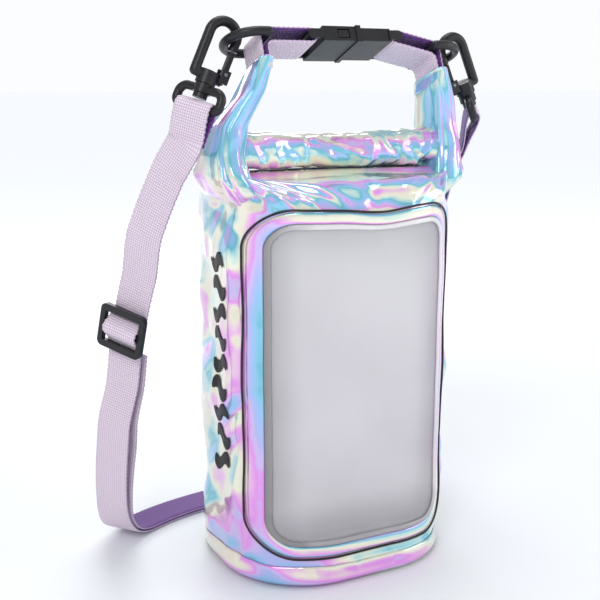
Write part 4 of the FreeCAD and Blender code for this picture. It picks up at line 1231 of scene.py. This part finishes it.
@dataclass
class Stitches:
    """Rows of sewing thread: short humped tubes."""

    thread: bpy.types.Material
    length: float = 2.1 * MM
    radius: float = 0.22 * MM

    def row(self, name: str, start: Array, end: Array, out: Array, body: str) -> bpy.types.Object:
        """A row of stitches from start to end that stand out along a direction.

        Each stitch is a tube whose middle line is an arch: level x sin of the way along it.
        """
        span = np.linalg.norm(end - start)
        count = max(2, int(span / (self.length * 1.25)))
        way = unit((end - start)[None])[0]
        t = np.linspace(0.0, 1.0, 9)
        points, faces = [], []
        for number in range(count):
            begin = start + way * span * (number + 0.1) / count
            arch = begin + way * (self.length * t)[:, None] + out * (
                self.radius * (1.6 * np.sin(t * math.pi) - 0.3))[:, None]
            rings = sweep(arch, self.radius, 6)
            base = sum(len(p) for p in points)
            points.append(rings.reshape(-1, 3))
            faces.append(grid_faces(9, 6, True) + base)
        made = mesh_object(name, np.concatenate(points), [np.concatenate(faces)])
        fix_normals(made)
        return dress(made, self.thread, body)


def spline_line(points: list[tuple[float, float, float]]) -> Array:
    """Even points of the smooth line that a route's points pull on.

    Args:
        points: the route's points in millimetres.

    Returns:
        Points of the NURBS line of order 3 through both ends, in metres.
    """
    curve = bpy.data.curves.new("route", "CURVE")
    curve.dimensions = "3D"
    curve.resolution_u = 24
    spline = curve.splines.new("NURBS")
    spline.points.add(len(points) - 1)
    flat = np.array([(*p, 1.0 / MM) for p in points]) * MM
    spline.points.foreach_set("co", flat.ravel())
    spline.order_u = 3
    spline.use_endpoint_u = True
    holder = bpy.data.objects.new("route", curve)
    bpy.context.scene.collection.objects.link(holder)
    mesh = bpy.data.meshes.new_from_object(holder.evaluated_get(bpy.context.evaluated_depsgraph_get()))
    line = places_of(mesh).astype(float)
    bpy.data.objects.remove(holder)
    bpy.data.curves.remove(curve)
    bpy.data.meshes.remove(mesh)
    return resample(line, 0.6 * MM)


# The strap's way from below the left eye, through the slider, over the floor behind the bag and up
# to the right eye: points given in millimetres.
STRAP_ROUTE = [
    (-81.5, -8, 207), (-90, -2, 186), (-97, 6, 157), (-102.5, 14, 124), (-105, 18, 95), (-107, 23, 64),
    (-107, 30, 36), (-103, 39, 13), (-92, 51, 1.7), (-70, 63, 1.4), (-38, 71, 1.4), (0, 74, 1.4),
    (38, 71, 1.4), (66, 63, 1.7), (81, 55, 13), (85, 49, 38), (85, 42, 72), (83, 32, 112),
    (81, 19, 152), (80, 3, 190), (79.5, -6, 208),
]


@dataclass
class ShoulderStrap:
    """The strap: the end sewn round the left eye, the long run and the layer that comes back."""

    webbing: bpy.types.Material
    thread: bpy.types.Material
    joints: list[dict]
    ribbon: Ribbon = field(default_factory=Ribbon)
    loop: float = 17.0 * MM
    spacing: float = 0.6 * MM
    bend: float = 2.95 * MM
    bar_drop: float = 13.0 * MM
    bar_turn: float = math.radians(57.0)
    near_eye: int = 120

    def eye_bar(self, side: Side) -> tuple[Array, Array]:
        """The middle and direction of an eye's lower bar, from the swivel joint, the bar's drop and its turn.
        """
        joint = next(j for j in self.joints if j["name"] == f"{side.word}_swivel")
        axis = np.array(joint["axis"], float)
        base = np.array(joint["pos_m"], float)
        bar = base - axis * self.bar_drop
        u = np.cross([0.0, 1.0, 0.0], axis)
        angle = self.bar_turn * side.value
        across = unit((u * math.cos(angle) + np.cross(axis, u) * math.sin(angle))[None])[0]
        return bar, across

    def turn(self, side: Side, below: Array) -> tuple[Array, Array]:
        """The webbing's turn round the eye's bar, from the inner layer over it to the outer one."""
        bar, across = self.eye_bar(side)
        down = below - bar
        down = unit((down - across * down.dot(across))[None])[0]
        out = np.cross(across, down)
        out = out if out[0] * side.value > 0 else -out
        angle = np.radians(np.linspace(0.0, 180.0, 25))
        arc = np.stack([-np.sin(angle) * self.bend, -np.cos(angle) * self.bend], -1)
        drop = np.linspace(self.loop, 0.4 * MM, 22)
        together = 0.9 * MM
        spread = together + (self.bend - together) * smoothstep(-drop, -self.loop, -1.0 * MM)
        legs = np.stack([drop, -spread], -1)
        back = np.stack([drop[::-1], spread[::-1]], -1)
        spots = np.concatenate([legs, arc, back])
        return bar + down * spots[:, :1] + out * spots[:, 1:], across

    def join(self, parts: list[tuple[Array, Array]]) -> tuple[Array, Array]:
        """Lines and widths end to end, evened out and softened at the joins."""
        points = np.concatenate([p for p, _ in parts])
        sides = np.concatenate([np.broadcast_to(w, p.shape) for p, w in parts])
        steps = np.linalg.norm(np.diff(points, axis=0), axis=1)
        at = np.concatenate([[0.0], np.cumsum(steps)])
        even = np.linspace(0.0, at[-1], int(at[-1] / self.spacing) + 2)
        table = np.concatenate([points, sides], 1)
        table = np.stack([np.interp(even, at, table[:, k]) for k in range(6)], -1)
        table = soften(table, 6)
        return table[:, :3], table[:, 3:]

    @staticmethod
    def directions(line: Array, left: Array, right: Array) -> tuple[Array, Array, Array, Array]:
        """The tangent, the wished width, the true width and the normal at each point of the route.

        The width turns from the left eye's to the right eye's, and lies level where the strap is low.
        """
        swap = smoothstep(line[:, 0] + 0.2 * (line[:, 1] - 0.06), -0.085, 0.085)[:, None]
        low = smoothstep(-line[:, 2], -0.03, 0.0)[:, None]
        tangent = unit(np.gradient(line, axis=0))
        level = np.cross(tangent, [0.0, 0.0, 1.0])
        level = np.where(level[:, 1:2] > 0.0, -level, level)
        across = unit((left * (1 - swap) + right * swap) * (1 - 0.8 * low) + level * 0.8 * low)
        across = soften(across, 60)
        wide = unit(across - tangent * (across * tangent).sum(1, keepdims=True))
        return tangent, across, wide, np.cross(tangent, wide)

    def lines(self) -> dict[str, tuple[Array, Array]]:
        """Middle line and width direction of each length of webbing, and the slider's place and axes."""
        line = spline_line(STRAP_ROUTE)
        slider = np.array(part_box("strap_slider")).mean(0)
        middle = int(np.argmin(np.linalg.norm(line - slider, axis=1)))
        reach = np.arange(len(line)) * np.linalg.norm(line[1] - line[0])
        # the width direction at either eye, 33 degrees off the bag's depth
        left = np.array([0.545, -0.838, 0.0])
        right = np.array([-0.545, -0.838, 0.0])
        tangent, across, wide, normal = self.directions(line, left, right)
        # near the slider the outer run stands back, and the inner layer lies behind it
        gap = np.abs(reach - reach[middle])
        behind = -4.3 * MM * (1.0 - smoothstep(gap, 26.0 * MM, 52.0 * MM))
        outer = line + normal * behind[:, None]
        spread = np.interp(line[:, 2], [0.0, 0.004, 0.03, 0.06, 0.10, 0.16, 0.21],
                           [0.0016, 0.0016, 0.0042, 0.0066, 0.0046, 0.0032, 0.0021])  # by height
        inner = outer - normal * soften(spread[:, None], 20)
        turn_left, across_left = self.turn(Side.LEFT, line[0])
        turn_right, across_right = self.turn(Side.RIGHT, line[-1])
        across_right = across_right if across_right.dot(right) > 0 else -across_right
        across_left = across_left if across_left.dot(left) > 0 else -across_left
        # the main run takes most of the turn's arc, and the returning run its inner leg
        split = len(turn_right) // 2 - 6
        cut = middle + int(6 * MM / self.spacing)
        skip = 8  # points left out beside each turn, so that the join is soft
        return {
            "end": self.join([(turn_left, across_left), (outer[skip:cut], across[skip:cut])]),
            "main": self.join([(outer[cut:-skip], across[cut:-skip]),
                               (turn_right[:split:-1], across_right)]),
            "back": self.join([(inner[cut + 10:-skip], across[cut + 10:-skip]),
                               (turn_right[:split - 2], across_right)]),
            "slider": (outer[middle:middle + 1] - normal[middle:middle + 1] * behind[middle],
                       np.stack([tangent[middle], wide[middle], normal[middle]])),
        }

    def slider_bulge(self, centre: Array, axes: Array) -> None:
        """The webbing's bulge over the slider's middle bar, which moves with the slider."""
        tangent, across, normal = axes
        along = np.linspace(-9.2, 9.2, 80)
        knots = np.array([-9.2, -6.9, -1.9, 0.0, 1.9, 6.9, 9.2])
        height = np.array([-2.6, -2.6, 2.7, 3.3, 2.7, -2.6, -2.6])
        off = soften(np.interp(along, knots, height)[:, None], 9)[:, 0]
        path = centre + tangent * (along * MM)[:, None] + normal * (off * MM)[:, None]
        path = resample(path, 0.35 * MM)
        made = self.ribbon.build("slider_bulge", path, np.broadcast_to(across, path.shape))
        dress(made, self.webbing, "slider")

    def build(self) -> None:
        """Builds the strap's lengths of webbing and its sewing."""
        lines = self.lines()
        sewing = Stitches(self.thread)
        left_bar, left_across = self.eye_bar(Side.LEFT)
        right_bar, right_across = self.eye_bar(Side.RIGHT)
        names = {"end": ("strap_end_webbing", "strap_left_end"), "main": ("strap_main_webbing", "strap_main"),
                 "back": ("strap_return_webbing", "strap_return")}
        pieces = {}
        for key, (name, node) in names.items():
            path, across = lines[key]
            made = self.ribbon.build(name, path, across)
            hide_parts(node)
            made.data.materials.append(self.webbing)
            pieces[key] = (made, path)
        below = np.array([0.0, 0.0, -55.0 * MM])
        for key, eye, bar in (("end", "left_eye", left_bar), ("main", "right_eye", right_bar),
                              ("back", "right_eye", right_bar)):
            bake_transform(pieces[key][0], eye, "shoulder_strap", tuple(bar), tuple(bar + below))
        self.slider_bulge(lines["slider"][0][0], lines["slider"][1])
        slider = bpy.data.objects["strap_slider_moulded"]
        for key, start in (("end", 40), ("main", 0), ("back", 0)):
            made, path = pieces[key]
            [slider] if key == "end" else []
        self.sew(sewing, lines["end"], left_bar, left_across, "left_eye", 14.0 * MM)
        from_right = tuple(v[::-1] for v in lines["main"])
        self.sew(sewing, from_right, right_bar, right_across, "right_eye", 14.0 * MM)

    def sew(self, sewing: Stitches, line: tuple[Array, Array], bar: Array, across: Array, body: str,
            drop: float) -> None:
        """A stitch row across the webbing below an eye."""
        path, _ = line
        distance = np.linalg.norm(path - bar, axis=1)
        start = int(np.argmin(distance[:self.near_eye]))
        number = start + int(np.argmin(np.abs(distance[start:start + self.near_eye] - drop)))
        tangent = unit((path[number + 2] - path[number - 2])[None])[0]
        wide = across - tangent * across.dot(tangent)
        out = np.cross(tangent, wide)
        out = out if out[0] * np.sign(bar[0]) > 0 else -out
        face = path[number] + out * self.ribbon.thick * 0.52
        half = wide * (self.ribbon.width * 0.45)
        sewing.row(f"{body}_stitches", face - half, face + half, out, body)


# The x of the ring's bar and of the buckle's bar, and how far the ring hangs below the buckle, in mm.
TAB_PLACES = {Side.LEFT: (-41.0, -18.4, 0.0), Side.RIGHT: (48.0, 28.0, 5.0)}


@dataclass
class TabWebbing:
    """The short webbing loops between the ears, the D-rings and the buckle."""

    webbing: bpy.types.Material
    bend: float = 3.2 * MM
    leg_gap: float = 2.9 * MM

    def build(self, side: Side) -> None:
        """One loop: up from the ear, round the ring's bar, round the buckle's bar and back down.

        The line lies in the handle's tilted plane: straight runs between arcs about the two bars.
        """
        sign = side.value
        tilted = Matrix.Rotation(-HANDLE_TILT, 3, "X")
        handle = np.array([0.0, *(np.array(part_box("buckle_socket")).mean(0)[1:])])
        ring_x, buckle_x, drop = (size * MM for size in TAB_PLACES[side])
        ring, bar = np.array([ring_x, -drop]), np.array([buckle_x, 0.0])
        along = (bar - ring) / np.linalg.norm(bar - ring)
        up = np.array([-along[1], along[0]]) * -sign
        outer_x = ring_x + sign * self.bend
        inner_x = outer_x - sign * self.leg_gap
        foot = -11.6 * MM - drop

        def arc(centre: Array, start: Array, end_turn: float, count: int = 16) -> Array:
            """Points turned about a centre from a start direction through an angle."""
            angle = np.linspace(0.0, end_turn, count)[:, None]
            first = start[None]
            second = np.array([[-start[1], start[0]]])
            return centre + self.bend * (first * np.cos(angle) + second * np.sin(angle))

        side_dir = np.array([float(sign), 0.0])
        lean = math.atan2(side_dir[0] * up[1] - side_dir[1] * up[0], side_dir.dot(up))
        over_ring = arc(ring, side_dir, lean)
        round_bar = arc(bar, up, math.pi * sign)
        corner = bar - up * self.bend
        reach = (inner_x - corner[0]) / along[0]
        knee = corner + along * reach
        soft = np.linspace(0.0, 1.0, 12)[:, None]
        before, after = knee + along * 3.0 * MM, knee + np.array([0.0, -3.0 * MM])
        curve = before * (1 - soft) ** 2 + 2 * knee * soft * (1 - soft) + after * soft ** 2
        flat = np.concatenate([[[outer_x, foot]], over_ring, round_bar, curve, [[inner_x, foot]]])
        local = np.stack([flat[:, 0], np.zeros(len(flat)), flat[:, 1]], -1)
        turned = local @ np.array(tilted).T
        path = soften(resample(turned + handle, 0.5 * MM), 4)
        across = np.array(tilted @ Vector((0.0, 1.0, 0.0)))
        ribbon = Ribbon(thick=1.25 * MM)
        made = ribbon.build(f"{side.word}_tab", path, np.broadcast_to(across, path.shape), sign < 0)
        made.data.materials.append(self.webbing)
        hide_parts(f"{side.word}_tab_webbing")
        if side is Side.LEFT:
            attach(made, "bag")
        else:
            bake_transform(made)


# ---------------------------------------------------------------- stage


def surround(scene: bpy.types.Scene) -> None:
    """A near-white surround, which lights the bag less than it is seen."""
    world = bpy.data.worlds.new("surround")
    world.use_nodes = True
    tree = world.node_tree
    tree.nodes.clear()
    output = tree.nodes.new("ShaderNodeOutputWorld")
    mix = tree.nodes.new("ShaderNodeMixShader")
    seen = tree.nodes.new("ShaderNodeBackground")
    seen.inputs["Color"].default_value = (0.975, 0.98, 0.99, 1.0)
    seen.inputs["Strength"].default_value = 1.0
    lit = tree.nodes.new("ShaderNodeBackground")
    lit.inputs["Color"].default_value = (0.97, 0.98, 1.0, 1.0)
    lit.inputs["Strength"].default_value = 0.57
    rays = tree.nodes.new("ShaderNodeLightPath")
    tree.links.new(rays.outputs["Is Camera Ray"], mix.inputs[0])
    tree.links.new(lit.outputs[0], mix.inputs[1])
    tree.links.new(seen.outputs[0], mix.inputs[2])
    tree.links.new(mix.outputs[0], output.inputs["Surface"])
    scene.world = world


def studio() -> None:
    """A pale floor, a white surround and soft lamps."""
    scene = bpy.context.scene
    scene.view_settings.view_transform = "Standard"
    surround(scene)

    # name, place in metres, size in metres and power in watts
    lamps = (
        ("key", (-0.75, -0.85, 0.95), 0.50, 5.4), ("fill", (0.95, -0.60, 0.50), 0.60, 3.0),
        ("top", (0.05, 0.10, 1.15), 0.50, 3.5), ("back", (0.25, 0.95, 0.55), 0.60, 3.0))
    for name, place, size, power in lamps:
        light = bpy.data.lights.new(name, "AREA")
        light.size = size
        light.energy = power
        lamp = bpy.data.objects.new(name, light)
        lamp.location = place
        aim = Vector((0.0, 0.0, 0.13)) - Vector(place)
        lamp.rotation_euler = aim.to_track_quat("-Z", "Y").to_euler()
        scene.collection.objects.link(lamp)

    reach = 30.0
    corners = np.array([(-reach, -reach, 0), (reach, -reach, 0), (reach, reach, 0), (-reach, reach, 0)])
    floor = mesh_object("floor", corners, [np.array([[0, 1, 2, 3]])])
    shader = Shader("floor")
    away = shader.node("ShaderNodeVectorMath", {"operation": "LENGTH"}, {0: shader.place()}, "Value")
    soft = {"interpolation_type": "SMOOTHSTEP"}
    far = shader.node("ShaderNodeMapRange", soft, {0: away, 1: 0.12, 2: 1.25})
    paint = shader.blend(shader.noise(3.0), rgb(236, 240, 244), rgb(243, 246, 249))
    floor.data.materials.append(shader.finish(
        Base_Color=paint, Roughness=0.5, Emission_Strength=0.46,
        Emission_Color=shader.blend(far, (0.0, 0.0, 0.0, 1.0), (0.95, 0.97, 1.0, 1.0))))


def camera() -> None:
    """The camera: a 60 mm lens half a metre away, a little left of and above the bag."""
    data = bpy.data.cameras.new("camera")
    data.lens = 60.0
    data.sensor_width = 36.0
    data.clip_start = 0.01
    view = bpy.data.objects.new("camera", data)
    view.location = (-0.2365, -0.4472, 0.2415)
    view.rotation_euler = (math.radians(90.0 - 12.2), 0.0, math.radians(-26.6))
    bpy.context.scene.collection.objects.link(view)
    bpy.context.scene.camera = view


def main() -> None:
    """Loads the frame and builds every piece."""
    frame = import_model()
    camera()
    studio()
    film = PearlFilm().material()
    clear = ClearFilm("clear_window", (232, 230, 236), 0.22).material()
    # the clear sleeve's last value sets its painted shade and painted highlight
    sleeve = ClearFilm("clear_sleeve", (236, 231, 235), 0.66, 0.10, 0.75).material()
    webbing = Webbing().material()
    thread = PlainFinish("thread", (214, 186, 216), 0.6, 2400.0, 0.0, 0.1 * MM).material()
    black = PlainFinish("black_piping", (14, 14, 16), 0.34, 700.0).material()
    ink = PlainFinish("print_ink", (12, 12, 15), 0.52, 500.0).material()
    strip = PlainFinish("strip", (225, 225, 230), 0.45).material()
    pin = PlainFinish("pin_steel", (120, 120, 124), 0.35, 900.0, 0.9).material()

    half_width, half_depth, _ = np.array(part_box("base_panel")[1]) / MM
    form = BagForm(half_width, half_depth)
    FilmBody(form, film, clear, sleeve, black, ink).build()
    LOG.info("film body on a base of %.0f x %.0f mm", 2 * half_width, 2 * half_depth)
    RolledTop(form, film, strip).build(frame)
    Moulding(MouldedPlastic().material(), pin).build(frame)
    tabs = TabWebbing(webbing)
    for side in Side:
        tabs.build(side)
    ShoulderStrap(webbing, thread, frame["record"]["behaviour"]["joints"]).build()


if __name__ == "__main__":
    main()
